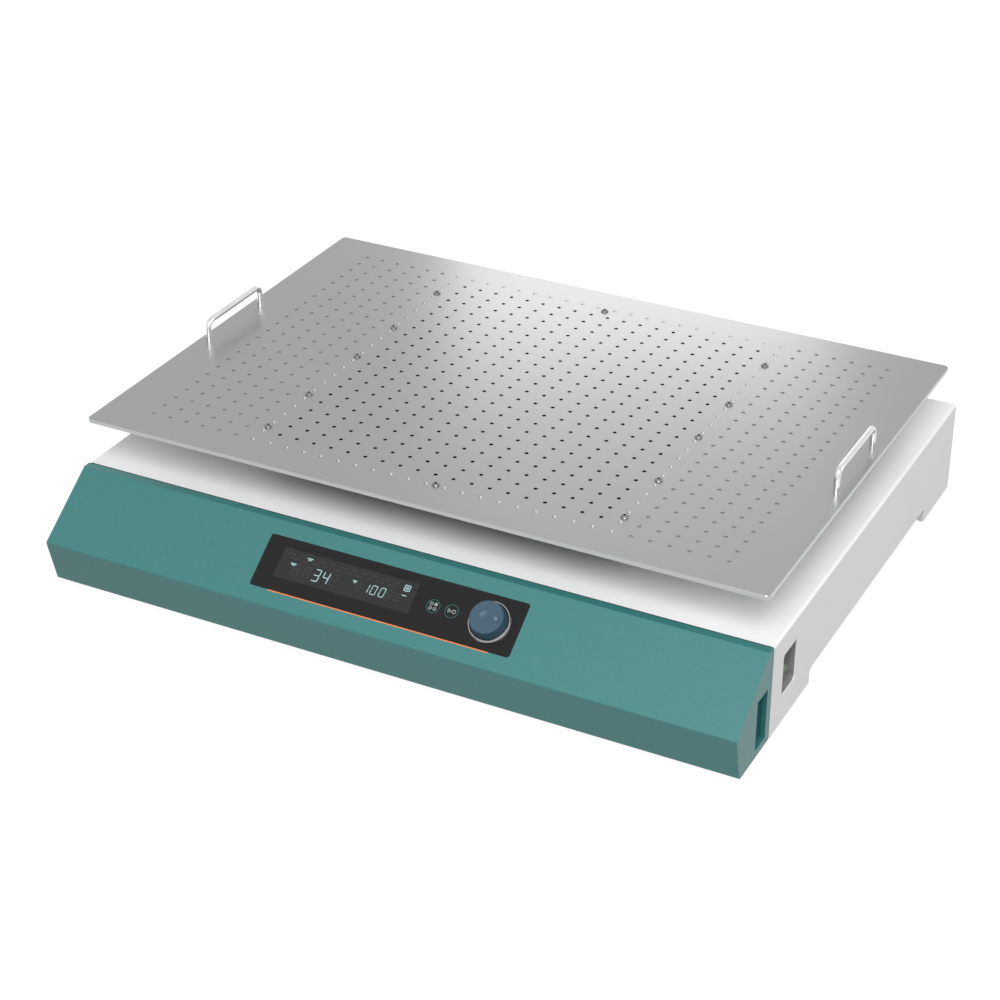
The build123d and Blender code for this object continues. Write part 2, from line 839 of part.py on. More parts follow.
def switch_pocket():
    """Moulded pocket behind the side window that sets the switch back."""
    wall = switch_pocket_wall
    corner = window_side_corner
    rim = rounded_block(
        window_side_height + 2 * switch_pocket_rim, window_side_width + 2 * switch_pocket_rim,
        wall, corner + wall,
    )
    cup = rounded_block(
        window_side_height + 2 * wall, window_side_width + 2 * wall,
        switch_pocket_depth + wall - cover_wall, corner + wall,
    )
    mouth = Pos(0, 0, switch_pocket_depth + wall - switch_pocket_mouth) * rounded_block(
        window_side_height, window_side_width, switch_pocket_mouth + 1, corner
    )
    room = Pos(0, 0, wall) * rounded_block(
        window_side_height - 2 * switch_pocket_step, window_side_width - 2 * switch_pocket_step,
        switch_pocket_depth, corner - switch_pocket_step,
    )
    face = switch_pocket_depth - cover_wall
    hole = Pos(0, 0, -5) * rounded_block(
        switch_height - 4, switch_width - 4, 30, 1
    )
    return in_side_window(switch_pocket_depth + wall) * (
        cup + Pos(0, 0, face) * rim - mouth - room - hole
    )


def switch_body():
    """Rocker switch housing: bezel on the pocket's back wall and body behind it."""
    bezel = rounded_block(switch_height, switch_width, switch_bezel, 2)
    body = Pos(0, 0, -switch_depth) * rounded_block(
        switch_height - 4, switch_width - 4, switch_depth, 1
    )
    well_height = 2 * (rocker_radius + rocker_gap)
    well_width = switch_width - 2 * switch_bezel_wall
    well = Pos(0, 0, switch_bezel - rocker_radius - rocker_gap - 1) * Box(
        well_height, well_width, 2 * rocker_radius + 20, align=(Align.CENTER, Align.CENTER, Align.MIN)
    )
    return in_side_window(switch_pocket_depth) * (bezel + body - well)


def power_rocker():
    """Rocker with two faces in a shallow V, one side pressed in, on a pivot pin."""
    width = switch_width - 2 * switch_bezel_wall - 2 * rocker_gap
    radius = rocker_radius
    crest = math.sqrt(radius**2 - rocker_rise**2)
    drum = Circle(radius) & Pos(0, -radius / 2) * Rectangle(2 * radius, radius)
    wedge = Circle(radius) & make_face(Polyline(
        (-radius, 0), (-radius, rocker_rise), (-crest, rocker_rise), (0, rocker_valley),
        (crest, rocker_rise), (radius, rocker_rise), (radius, 0), close=True,
    ))
    rocker = extrude(drum + wedge, width / 2, both=True)
    rocker = Rot(0, 0, rocker_angle) * rocker
    pivot = in_side_window(switch_pocket_depth - switch_bezel) * Rot(90, 0, 0)
    return pivot * rocker


def power_inlet():
    """Appliance inlet behind the cover's back wall, with three flat pins in its socket."""
    face = back_y - cover_wall
    flange = Rot(90, 0, 0) * rounded_block(inlet_flange_width, inlet_flange_height, 3, 4)
    body = block(
        -inlet_width / 2, inlet_width / 2, -inlet_depth, 0,
        -inlet_height / 2, inlet_height / 2,
    )
    nose = block(
        0.2 - inlet_width / 2, inlet_width / 2 - 0.2, -1, cover_wall,
        0.2 - inlet_height / 2, inlet_height / 2 - 0.2,
    )
    socket = block(
        2 - inlet_width / 2, inlet_width / 2 - 2, 4 - inlet_depth, cover_wall + 1,
        2 - inlet_height / 2, inlet_height / 2 - 2,
    )
    inlet = flange + body + nose - socket
    for x, z in ((-7, -1.5), (0, 2.0), (7, -1.5)):
        inlet += block(x - 1, x + 1, 3 - inlet_depth, -6, z - 2, z + 2)
    for side in (-1, 1):
        inlet -= Pos(side * inlet_screw_pitch / 2, -1.5, 0) * Rot(90, 0, 0) * Cylinder(1.5, 10)
    return Pos(inlet_x, face, inlet_z) * inlet


def inlet_screw_sink():
    """Flush screw head and shank as one solid, its head's face on the origin."""
    return turned([
        (0, 0), (1.5 + cover_wall, 0), (1.5, -cover_wall), (1.5, -8.0), (0, -8.0)
    ])


def inlet_screws():
    """Two flush screws through the cover into the inlet's flange."""
    slot = block(-2.6, 2.6, -0.4, 0.4, -0.8, 1.0)
    screw = Rot(-90, 0, 0) * (inlet_screw_sink() - slot)
    places = [Pos(inlet_x + side * inlet_screw_pitch / 2, back_y, inlet_z) for side in (-1, 1)]
    return copies(screw, places)


def plate_screw_places():
    """Screws that hold the mechanism plate to the tray, clear of the housings."""
    x = plate_width / 2 - 12
    y = plate_depth / 2 - 12
    sides = [(sx * x, crank_y + sy * y / 2) for sx in (-1, 1) for sy in (-1, 1)]
    return sides + [(0.0, crank_y - y), (0.0, crank_y + y)]


def housing_screw_places():
    """Screws in the flanges of the bearing housings."""
    places = []
    drive_pitch = drive_bearing_outer + housing_wall + flange_reach / 2
    idler_pitch = idler_bearing_outer + housing_wall + flange_reach / 2
    pairs = [(drive_pitch, 0.0, 0.0)] + [(idler_pitch, x, y) for x, y in idlers.values()]
    for pitch, x, y in pairs:
        for turn in (45, 135, 225, 315):
            angle = math.radians(turn)
            places.append((x + pitch * math.cos(angle), crank_y + y + pitch * math.sin(angle)))
    return places


def mechanism_plate():
    """Thick plate that holds all bearing housings in line."""
    plate = Pos(0, crank_y, tray_top) * rounded_block(
        plate_width, plate_depth, plate_thickness, plate_corner
    )
    for x, y in plate_screw_places():
        plate -= disc(m6_radius, tray_top - 1, plate_top + 1, x, y)
    for x, y in housing_screw_places():
        plate -= disc(m5_radius, tray_top + 2, plate_top + 1, x, y)
    return plate


def chassis_screws():
    """Screws that hold the mechanism plate and the motor mount to the tray."""
    screw = cap_screw(m6_radius, plate_thickness + sheet)
    mount_top = tray_top + motor_mount_thickness
    places = [Pos(x, y, plate_top) for x, y in plate_screw_places()]
    places += [Pos(x, y, mount_top) for x, y in motor_mount_screw_places()]
    return copies(screw, places)


def housing_screws():
    screw = cap_screw(m5_radius, flange_thickness + 7.0)
    z = plate_top + flange_thickness
    return copies(screw, [Pos(x, y, z) for x, y in housing_screw_places()])


def bearing_levels(width):
    """Undersides of the lower and upper bearing in a housing."""
    low = plate_top + bearing_inset
    high = housing_top - bearing_inset + 1.0 - width
    return low, high


def bearing_housing(outer, width):
    """Turned housing: flange, hub, and a bearing seat at each end of its bore."""
    low, high = bearing_levels(width)
    hub = outer + housing_wall
    flange = hub + flange_reach
    land = outer - bearing_land
    blank = turned([
        (outer, plate_top), (flange, plate_top), (flange, plate_top + flange_thickness),
        (hub + 1.5, plate_top + flange_thickness), (hub, plate_top + flange_thickness + 1.5),
        (hub, housing_top - 1), (hub - 1, housing_top), (outer, housing_top), (outer, high),
        (land, high), (land, low + width), (outer, low + width),
    ])
    for turn in (45, 135, 225, 315):
        pitch = hub + flange_reach / 2
        angle = math.radians(turn)
        blank -= disc(
            m5_radius, plate_top - 1, plate_top + flange_thickness + 1,
            pitch * math.cos(angle), pitch * math.sin(angle),
        )
    return blank


def crank_places():
    """Crank axes of the four idlers."""
    return [Pos(x, crank_y + y, 0) for x, y in idlers.values()]


def drive_housing():
    return Pos(0, crank_y, 0) * bearing_housing(drive_bearing_outer, drive_bearing_width)


def idler_housings():
    return copies(bearing_housing(idler_bearing_outer, idler_bearing_width), crank_places())


def drive_bearings():
    levels = bearing_levels(drive_bearing_width)
    ring = ball_bearing(drive_bearing_outer, drive_journal + running_fit, drive_bearing_width, 0)
    return copies(ring, [Pos(0, crank_y, low) for low in levels])


def idler_bearings():
    levels = bearing_levels(idler_bearing_width)
    ring = ball_bearing(idler_bearing_outer, idler_journal + running_fit, idler_bearing_width, 0)
    places = [place * Pos(0, 0, low) for place in crank_places() for low in levels]
    return copies(ring, places)


def crank(journal, width, disc_radius):
    """Crank about Z: lower journal, disc, and a pin that stands off the axis to the front."""
    upper_low = bearing_levels(width)[1]
    seat = web_bottom + bearing_inset
    shaft = turned([
        (0, plate_top + 1.5), (journal - 0.8, plate_top + 1.5), (journal, plate_top + 2.3),
        (journal, upper_low + width + axial_play),
        (journal + pin_shoulder, upper_low + width + axial_play),
        (journal + pin_shoulder, disc_bottom + 1), (0, disc_bottom + 1),
    ])
    web = disc(disc_radius, disc_bottom, disc_top)
    web = chamfer(web.edges().filter_by(GeomType.CIRCLE), 0.8)
    pin = turned([
        (0, disc_top - 1), (journal + pin_shoulder, disc_top - 1),
        (journal + pin_shoulder, seat - axial_play), (journal, seat - axial_play),
        (journal, seat + width + pin_rise - 0.8), (journal - 0.8, seat + width + pin_rise),
        (0, seat + width + pin_rise),
    ])
    return shaft + web + Pos(0, -orbit_radius, 0) * pin


def idler_crank(name):
    x, y = idlers[name]
    return Pos(x, crank_y + y, 0) * crank(idler_journal, idler_bearing_width, idler_disc_radius)


def counterweight_screw_places():
    """Screws in the counterweight, about the drive axis."""
    x = counterweight_bolt_x
    y = counterweight_bolt_y
    return [(-x, y), (x, y)]


def drive_crank():
    """Driven crank, tapped for the counterweight screws."""
    solid = crank(drive_journal, drive_bearing_width, drive_disc_radius)
    for x, y in counterweight_screw_places():
        solid -= disc(m6_radius, disc_top - 10, disc_top + 1, x, y)
    return Pos(0, crank_y, 0) * solid


def counterweight():
    """Half disc of steel plate opposite the crank pin, with a bevelled rim."""
    plate = disc(counterweight_radius, disc_top, disc_top + counterweight_thickness)
    plate = chamfer(plate.edges().filter_by(GeomType.CIRCLE), 1.0)
    reach = counterweight_radius + 1
    plate -= block(-reach, reach, -reach, counterweight_start, disc_top - 1, disc_top + 30)
    for x, y in counterweight_screw_places():
        plate -= disc(m6_radius, disc_top - 1, disc_top + 30, x, y)
        plate -= disc(1.7 * m6_radius, disc_top + 3, disc_top + 30, x, y)
    return Pos(0, crank_y, 0) * plate


def counterweight_screws():
    """Screws sunk in the counterweight."""
    screw = cap_screw(m6_radius, 11.0)
    z = disc_top + 3
    return copies(screw, [Pos(x, crank_y + y, z) for x, y in counterweight_screw_places()])


def groove_levels():
    """Heights of the middle of each groove in the pulleys' rims."""
    middle = (pulley_top + pulley_bottom) / 2
    start = middle - (groove_count - 1) * groove_pitch / 2
    return [start + step * groove_pitch for step in range(groove_count)]


def grooved_rim(radius):
    """Outer edge of a pulley's section, from bottom to top, with its V grooves."""
    points = [(radius, pulley_bottom)]
    for z in groove_levels():
        points += [
            (radius, z - groove_half_width), (radius - groove_depth, z - 0.3),
            (radius - groove_depth, z + 0.3), (radius, z + groove_half_width),
        ]
    return points + [(radius, pulley_top)]


def drive_pulley():
    """Large grooved pulley with a thin web, lightening holes and a hub on the crank shaft."""
    rim = drive_pulley_radius - pulley_rim
    bore = drive_journal + pin_shoulder
    hub = bore + 8.0
    web_low = (pulley_top + pulley_bottom - pulley_web) / 2
    web_high = web_low + pulley_web
    section = grooved_rim(drive_pulley_radius) + [
        (rim, pulley_top), (rim, web_high), (hub, web_high), (hub, disc_bottom),
        (bore, disc_bottom), (bore, pulley_bottom), (hub, pulley_bottom), (hub, web_low),
        (rim, web_low), (rim, pulley_bottom),
    ]
    pulley = turned(section)
    hole_place = (rim + hub) / 2
    hole = 0.38 * (rim - hub)
    for step in range(6):
        angle = math.radians(60 * step)
        pulley -= disc(
            hole, pulley_bottom - 1, pulley_top + 1,
            hole_place * math.cos(angle), hole_place * math.sin(angle),
        )
    return Pos(0, crank_y, 0) * pulley


def motor_pulley():
    """Small grooved pulley on the motor shaft."""
    section = grooved_rim(motor_pulley_radius) + [
        (motor_shaft_radius, pulley_top), (motor_shaft_radius, pulley_bottom),
    ]
    return Pos(motor_x, crank_y, 0) * turned(section)


def belt_section():
    """Half-turned-out section of the belt: flat back, ribs that lie in the grooves."""
    middle = (pulley_top + pulley_bottom) / 2
    half = groove_count * groove_pitch / 2
    root = belt_gap
    rib_half = groove_half_width - 0.45
    tip_half = 0.25
    tip = 0.7 - groove_depth
    points = [(root, -half)]
    for z in groove_levels():
        level = z - middle
        points += [
            (root, level - rib_half), (tip, level - tip_half),
            (tip, level + tip_half), (root, level + rib_half),
        ]
    points += [(root, half), (root + belt_back, half), (root + belt_back, -half)]
    return make_face(Polyline(*points, close=True))


def drive_belt():
    """Ribbed belt: two straight runs and an arc round each pulley."""
    span = -motor_x
    lean = (motor_pulley_radius - drive_pulley_radius) / span
    rise = math.sqrt(1 - lean**2)
    big_top = (drive_pulley_radius * lean, drive_pulley_radius * rise)
    big_low = (big_top[0], -big_top[1])
    small_top = (motor_pulley_radius * lean - span, motor_pulley_radius * rise)
    small_low = (small_top[0], -small_top[1])
    path = Wire([
        Line(big_top, small_top),
        ThreePointArc(small_top, (-span - motor_pulley_radius, 0), small_low),
        Line(small_low, big_low),
        ThreePointArc(big_low, (drive_pulley_radius, 0), big_top),
    ])
    start = Plane(origin=big_top, x_dir=(lean, rise, 0), z_dir=(-rise, lean, 0))
    belt = sweep(start * belt_section(), path)
    return Pos(0, crank_y, (pulley_top + pulley_bottom) / 2) * belt


def motor_mount_screw_places():
    """Screws in the slots of the motor mount."""
    reach = motor_mount_width / 2 - 9
    return [(motor_x + sx * 40.0, crank_y + sy * reach) for sx in (-1, 1) for sy in (-1, 1)]


def motor_mount():
    """Plate under the motor, slotted so that it slides to tighten the belt."""
    plate = Pos(motor_x, crank_y, tray_top) * rounded_block(
        motor_mount_width, motor_mount_width, motor_mount_thickness, 6
    )
    slot = extrude(SlotOverall(22, 2 * m6_radius + 0.6), 20, both=True)
    for x, y in motor_mount_screw_places():
        plate -= Pos(x, y, tray_top) * slot
    return plate


def motor_housing():
    """Flat brushless motor: finned can with a boss round the shaft."""
    low = tray_top + motor_mount_thickness
    high = low + motor_height
    can = disc(motor_radius, low, high)
    can = chamfer(can.edges().filter_by(GeomType.CIRCLE), 2.0)
    for step in range(5):
        z = low + 9.0 + step * 7.0
        can -= tube(motor_radius + 1, motor_radius - 2.0, z, z + 3.0)
    can += disc(motor_boss_radius, high - 1, high + motor_boss_height)
    can -= disc(motor_shaft_radius + 0.3, low + 4, high + 10)
    return Pos(motor_x, crank_y, 0) * can


def motor_shaft():
    """Motor shaft, from inside the can to the top of its pulley."""
    low = tray_top + motor_mount_thickness + 5.0
    return disc(motor_shaft_radius, low, pulley_top, motor_x, crank_y)


def power_supply():
    """Sheet box with vent slots, open below, standing on the tray."""
    low = tray_top
    high = tray_top + supply_height
    half_w = supply_width / 2
    half_d = supply_depth / 2
    box = block(-half_w, half_w, -half_d, half_d, low, high)
    box -= block(
        supply_wall - half_w, half_w - supply_wall, supply_wall - half_d,
        half_d - supply_wall, low - 1, high - supply_wall,
    )
    reach = half_w - supply_vent_margin
    for step in range(supply_vent_count):
        middle = (step - (supply_vent_count - 1) / 2) * supply_vent_pitch
        vent = supply_vent_width / 2
        box -= block(-reach, reach, middle - vent, middle + vent, high - 3, high + 1)
    return Pos(half_width - supply_side, back_y - supply_back, 0) * box


def motor_controller():
    """Circuit board on posts with a finned heat sink on it, as separate solids."""
    low = tray_top
    board_low = low + controller_post
    half_w = controller_width / 2
    half_d = controller_depth / 2
    place = Pos(controller_side - half_width, back_y - controller_back, 0)
    board = block(-half_w, half_w, -half_d, half_d, board_low, board_low + board_thickness)
    sink_low = board_low + board_thickness
    sink = block(-40, 40, -30, 30, sink_low, sink_low + fin_height)
    gap = (80 - fin_count * fin_thickness) / (fin_count - 1)
    for step in range(fin_count - 1):
        left = -40 + fin_thickness + step * (gap + fin_thickness)
        sink -= block(left, left + gap, -31, 31, sink_low + 4, sink_low + fin_height + 1)
    posts = [
        disc(3, low, board_low, sx * (half_w - 6), sy * (half_d - 6))
        for sx in (-1, 1) for sy in (-1, 1)
    ]
    return Compound([Solid((place * piece).solid().wrapped) for piece in [board, sink] + posts])


def splash_collars():
    """Raised rings on the cover round the openings that the cranks turn in."""
    rings = []
    for radius, x, y in cover_openings():
        inner = radius + collar_gap
        low = body_top
        ring = turned([
            (inner, low), (inner + collar_wall, low), (inner + collar_wall, low + 1.5),
            (inner + 1.5, low + collar_height), (inner, low + collar_height),
        ])
        rings.append(Solid((Pos(x, y, 0) * ring).solid().wrapped))
    return Compound(rings)


def platform_screw_places():
    """Screws down the carriage's two sides and one in the middle of its front and back."""
    sides = [(side * column_x, y) for side in (-1, 1) for y in column_places]
    return sides + list(row_places)


def carriage_frame():
    """Machined ring that the platform lies on: an upright wall with a flange outside its top."""
    flange = rounded_block(frame_width, frame_depth, frame_flange, frame_corner)
    wall = rounded_block(wall_width, wall_depth, frame_height, frame_corner / 2)
    room = rounded_block(
        wall_width - 2 * frame_wall, wall_depth - 2 * frame_wall, frame_height + 2,
        frame_corner / 4,
    )
    ring = Pos(0, 0, frame_height - frame_flange) * flange + wall - Pos(0, 0, -1) * room
    ring = Pos(0, platform_y, frame_bottom) * ring
    for x, y in platform_screw_places():
        ring -= disc(
            platform_screw_radius, platform_top - platform_screw_length - 1, platform_bottom + 1,
            x, platform_y + y,
        )
    for x, y in web_screw_places():
        ring -= disc(m5_radius, frame_bottom - 1, frame_bottom + 8, x, y)
    return ring


def web_screw_places():
    """Screws up through the web into the frame."""
    x = (wall_width - frame_wall) / 2
    y = (wall_depth - frame_wall) / 2
    spots = [(sx * x, sy * y / 2) for sx in (-1, 1) for sy in (-1, 1)]
    spots += [(sx * x / 2, sy * y) for sx in (-1, 1) for sy in (-1, 1)]
    return [(px, platform_y + py) for px, py in spots]


def hub(outer, width):
    """Bearing hub on the web, bored from below."""
    seat_top = web_bottom + bearing_inset + width
    top = web_bottom + hub_rise
    solid = disc(outer + hub_wall, web_bottom, top)
    solid = chamfer(solid.edges().filter_by(GeomType.CIRCLE).sort_by(Axis.Z)[-1], 1.0)
    bore = disc(outer, web_bottom - 1, seat_top)
    pocket = disc(outer - bearing_land - 2, seat_top - 1, seat_top + pin_rise + 1)
    return solid, bore + pocket


def carriage_web():
    """Cast plate with five bearing hubs tied together by ribs."""
    web = rounded_block(wall_width, wall_depth, web_thickness, frame_corner / 2)
    web = Pos(0, 0, web_bottom) * web
    rib_top = web_bottom + web_thickness + hub_rib_height
    rib_low = web_bottom + web_thickness - 1
    for x, y in idlers.values():
        length = math.hypot(x, y)
        turn = math.degrees(math.atan2(y, x))
        middle = Pos(x / 2, y / 2, (rib_top + rib_low) / 2) * Rot(0, 0, turn)
        web += middle * Box(length, hub_rib, rib_top - rib_low)
    for side in (-1, 1):
        web += block(-idler_x, idler_x, side * idler_y - hub_rib / 2,
                     side * idler_y + hub_rib / 2, rib_low, rib_top)
    bores = []
    solid, bore = hub(drive_bearing_outer, drive_bearing_width)
    web += solid
    bores.append(bore)
    solid, bore = hub(idler_bearing_outer, idler_bearing_width)
    for x, y in idlers.values():
        web += Pos(x, y, 0) * solid
        bores.append(Pos(x, y, 0) * bore)
    web -= bores
    web = Pos(0, platform_y, 0) * web
    for x, y in web_screw_places():
        web -= disc(m5_radius, web_bottom - 1, frame_bottom + 1, x, y)
        web -= disc(1.8 * m5_radius, web_bottom - 1, web_bottom + 5, x, y)
    return web


def web_screws():
    """Screws sunk in the web's underside."""
    screw = Rot(180, 0, 0) * cap_screw(m5_radius, 10.0)
    return copies(screw, [Pos(x, y, web_bottom + 5) for x, y in web_screw_places()])


def carriage_bearings():
    """Bearings in the four idler hubs and the drive hub."""
    low = web_bottom + bearing_inset
    small = ball_bearing(
        idler_bearing_outer, idler_journal + running_fit, idler_bearing_width, low
    )
    large = ball_bearing(
        drive_bearing_outer, drive_journal + running_fit, drive_bearing_width, low
    )
    rings = [Pos(0, platform_y, 0) * large]
    rings += [Pos(x, platform_y + y, 0) * small for x, y in idlers.values()]
    return Compound([Solid(ring.solid().wrapped) for ring in rings])


def hole_grid():
    """Centres of the platform's tapped holes, about its middle."""
    columns = [(step - (hole_columns - 1) / 2) * hole_pitch for step in range(hole_columns)]
    rows = [(step - (hole_rows - 1) / 2) * hole_pitch for step in range(hole_rows)]
    return [(x, y) for x in columns for y in rows]


def handle_leg_places():
    """Centres of the handles' legs, about the platform's middle."""
    return [(side * handle_x, end * handle_span / 2) for side in (-1, 1) for end in (-1, 1)]


def platform():
    """Perforated plate: a square grid of tapped holes, screw holes and handle holes."""
    plate = rounded_block(platform_width, platform_depth, platform_thickness, platform_corner)
    top = plate.faces().sort_by(Axis.Z)[-1].edges()
    low = plate.faces().sort_by(Axis.Z)[0].edges()
    plate = chamfer(top + low, platform_edge)
    rounds = [(hole_radius, x, y) for x, y in hole_grid()]
    rounds += [(platform_screw_radius, x, y) for x, y in platform_screw_places()]
    rounds += [(handle_screw_radius, x, y) for x, y in handle_leg_places()]
    cutters = Compound([
        Solid.make_cylinder(radius, platform_thickness + 2, Plane((x, y, -1)))
        for radius, x, y in rounds
    ])
    return Pos(0, platform_y, platform_bottom) * (plate - cutters)


def platform_screws():
    """Dome-head screws that hold the platform to the carriage."""
    screw = dome_screw(platform_screw_radius, platform_screw_length)
    return copies(
        screw, [Pos(x, platform_y + y, platform_top) for x, y in platform_screw_places()]
    )


def handle(side):
    """Bright bent rod, tapped in both feet for a screw from below the platform."""
    x = side * handle_x
    half = handle_span / 2
    top = platform_top + handle_rise
    path = FilletPolyline(
        (x, platform_y - half, platform_top), (x, platform_y - half, top),
        (x, platform_y + half, top), (x, platform_y + half, platform_top),
        radius=handle_bend,
    )
    rod = sweep(Plane((x, platform_y - half, platform_top)) * Circle(handle_radius), path)
    for end in (-half, half):
        rod -= disc(
            handle_screw_radius, platform_top - 1,
            platform_top + handle_screw_grip - platform_thickness + 1, x, platform_y + end,
        )
    return rod


def handle_screws():
    """Screws up through the platform into the handles."""
    screw = Rot(180, 0, 0) * dome_screw(handle_screw_radius, handle_screw_grip)
    return copies(
        screw, [Pos(x, platform_y + y, platform_bottom) for x, y in handle_leg_places()]
    )


pieces = {
    "cover": cover(),
    "floor_tray": floor_tray(),
    "front_foot_rail": front_foot_rail(),
    "rear_foot_rail": rear_foot_rail(),
    "rubber_feet": rubber_feet(),
    "foot_screws": foot_screws(),
    "cover_screws": cover_screws(),
    "front_bulkhead": front_bulkhead(),
    "fascia": fascia(),
    "fascia_screws": fascia_screws(),
    "front_seal": front_seal(),
    "control_lens": control_lens(),
    "accent_strip": accent_strip(),
    "control_board": control_board(),
    "display_module": display_module(),
    "key_mat": key_mat(),
    "mode_key": key_cap(key_x[0]),
    "start_key": key_cap(key_x[1]),
    "key_rings": key_rings(),
    "encoder": encoder(),
    "encoder_shaft": encoder_shaft(),
    "jog_knob": jog_knob(),
    "knob_ring": knob_ring(),
    "switch_pocket": switch_pocket(),
    "switch_body": switch_body(),
    "power_rocker": power_rocker(),
    "power_inlet": power_inlet(),
    "inlet_screws": inlet_screws(),
    "power_supply": power_supply(),
    "motor_controller": motor_controller(),
    "mechanism_plate": mechanism_plate(),
    "chassis_screws": chassis_screws(),
    "drive_housing": drive_housing(),
    "idler_housings": idler_housings(),
    "housing_screws": housing_screws(),
    "drive_bearings": drive_bearings(),
    "idler_bearings": idler_bearings(),
    "motor_mount": motor_mount(),
    "motor_housing": motor_housing(),
    "motor_shaft": motor_shaft(),
    "motor_pulley": motor_pulley(),
    "drive_belt": drive_belt(),
    "drive_crank": drive_crank(),
    "drive_pulley": drive_pulley(),
    "counterweight": counterweight(),
    "counterweight_screws": counterweight_screws(),
    "splash_collars": splash_collars(),
    "carriage_web": carriage_web(),
    "carriage_frame": carriage_frame(),
    "web_screws": web_screws(),
    "carriage_bearings": carriage_bearings(),
    "platform": platform(),
    "platform_screws": platform_screws(),
    "handle_left": handle(-1),
    "handle_right": handle(1),
    "handle_screws": handle_screws(),
}
pieces.update({"idler_crank_" + name: idler_crank(name) for name in idlers})

os.makedirs("parts", exist_ok=True)
for name, shape in pieces.items():
    export_step(shape, os.path.join("parts", name + ".step"))
print(len(pieces), "pieces")
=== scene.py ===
import json
import math

import bpy
from mathutils import Matrix, Vector


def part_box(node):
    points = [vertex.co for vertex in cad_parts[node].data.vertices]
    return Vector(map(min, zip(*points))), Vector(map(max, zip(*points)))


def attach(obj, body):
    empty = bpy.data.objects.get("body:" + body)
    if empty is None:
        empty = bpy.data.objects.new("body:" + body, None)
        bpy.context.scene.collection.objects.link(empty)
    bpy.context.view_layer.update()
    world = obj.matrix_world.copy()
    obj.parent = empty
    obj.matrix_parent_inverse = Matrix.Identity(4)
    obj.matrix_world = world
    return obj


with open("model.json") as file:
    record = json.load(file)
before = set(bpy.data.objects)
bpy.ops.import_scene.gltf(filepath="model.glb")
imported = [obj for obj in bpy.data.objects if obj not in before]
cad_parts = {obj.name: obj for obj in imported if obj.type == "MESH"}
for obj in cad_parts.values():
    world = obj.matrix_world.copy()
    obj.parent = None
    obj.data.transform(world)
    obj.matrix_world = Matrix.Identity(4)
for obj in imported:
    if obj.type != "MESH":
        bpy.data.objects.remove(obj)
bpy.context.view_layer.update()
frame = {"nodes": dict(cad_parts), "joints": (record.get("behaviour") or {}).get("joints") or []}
nodes = frame["nodes"]
bpy.ops.object.select_all(action="DESELECT")

# The camera stands to the right of the operator's place, above the bench, and looks down across
# the shaker. A long lens keeps the platform's edges nearly parallel.
camera_place = (0.98645, -1.9513, 1.3141)
camera_turn = 27.244
camera_dip = 29.992
camera_lens = 85.2
bpy.ops.object.camera_add(
    location=camera_place,
    rotation=(math.radians(90 - camera_dip), 0, math.radians(camera_turn)),
)
camera = bpy.context.object
camera.data.lens = camera_lens
camera.data.sensor_width = 36
bpy.context.scene.camera = camera
bpy.context.scene.view_settings.view_transform = "Standard"


def lamp(name, place, aim, width, depth, power, colour=(1, 1, 1)):
    """A soft rectangular lamp that faces a point."""
    bpy.ops.object.light_add(type="AREA", location=place)
    light = bpy.context.object
    light.name = name
    light.data.shape = "RECTANGLE"
    light.data.size = width
    light.data.size_y = depth
    light.data.energy = power
    light.data.color = colour
    light.visible_camera = False
    light.rotation_euler = (Vector(aim) - Vector(place)).to_track_quat("-Z", "Y").to_euler()


# Studio light: a large soft box before the shaker at 45 degrees, a weak one on its right, and a
# low narrow one behind, whose blurred reflection is the pale patch on the platform's back half.
lamp("key_light", (1.1, -2.35, 2.55), (0, 0, 0.1), 2.2, 2.0, 121)
lamp("side_light", (2.6, 1.7, 1.1), (0, 0, 0.1), 1.6, 1.4, 18)
lamp("glance_light", (-0.35, 1.13, 0.59), (0.01, 0.30, 0.17), 0.60, 0.22, 0.95)


def seen_directly(tree):
    """1 where the eye, a reflection or a clear piece looks at something, and 0 for soft light."""
    ray = tree.nodes.new("ShaderNodeLightPath")
    seen = tree.nodes.new("ShaderNodeMath")
    seen.operation = "MAXIMUM"
    seen_too = tree.nodes.new("ShaderNodeMath")
    seen_too.operation = "MAXIMUM"
    tree.links.new(ray.outputs["Is Camera Ray"], seen.inputs[0])
    tree.links.new(ray.outputs["Is Glossy Ray"], seen.inputs[1])
    tree.links.new(seen.outputs[0], seen_too.inputs[0])
    tree.links.new(ray.outputs["Is Transmission Ray"], seen_too.inputs[1])
    return seen_too.outputs[0]


world = bpy.context.scene.world or bpy.data.worlds.new("studio")
bpy.context.scene.world = world
world.use_nodes = True
tree = world.node_tree
tree.nodes.clear()
room_light = 0.40
surround = tree.nodes.new("ShaderNodeBackground")
surround.inputs["Color"].default_value = (1, 1, 1, 1)
surround.inputs["Strength"].default_value = room_light
white = tree.nodes.new("ShaderNodeBackground")
white.inputs["Color"].default_value = (1, 1, 1, 1)
white.inputs["Strength"].default_value = 1.0
pick = tree.nodes.new("ShaderNodeMixShader")
out = tree.nodes.new("ShaderNodeOutputWorld")
tree.links.new(seen_directly(tree), pick.inputs["Fac"])
tree.links.new(surround.outputs["Background"], pick.inputs[1])
tree.links.new(white.outputs["Background"], pick.inputs[2])
tree.links.new(pick.outputs["Shader"], out.inputs["Surface"])


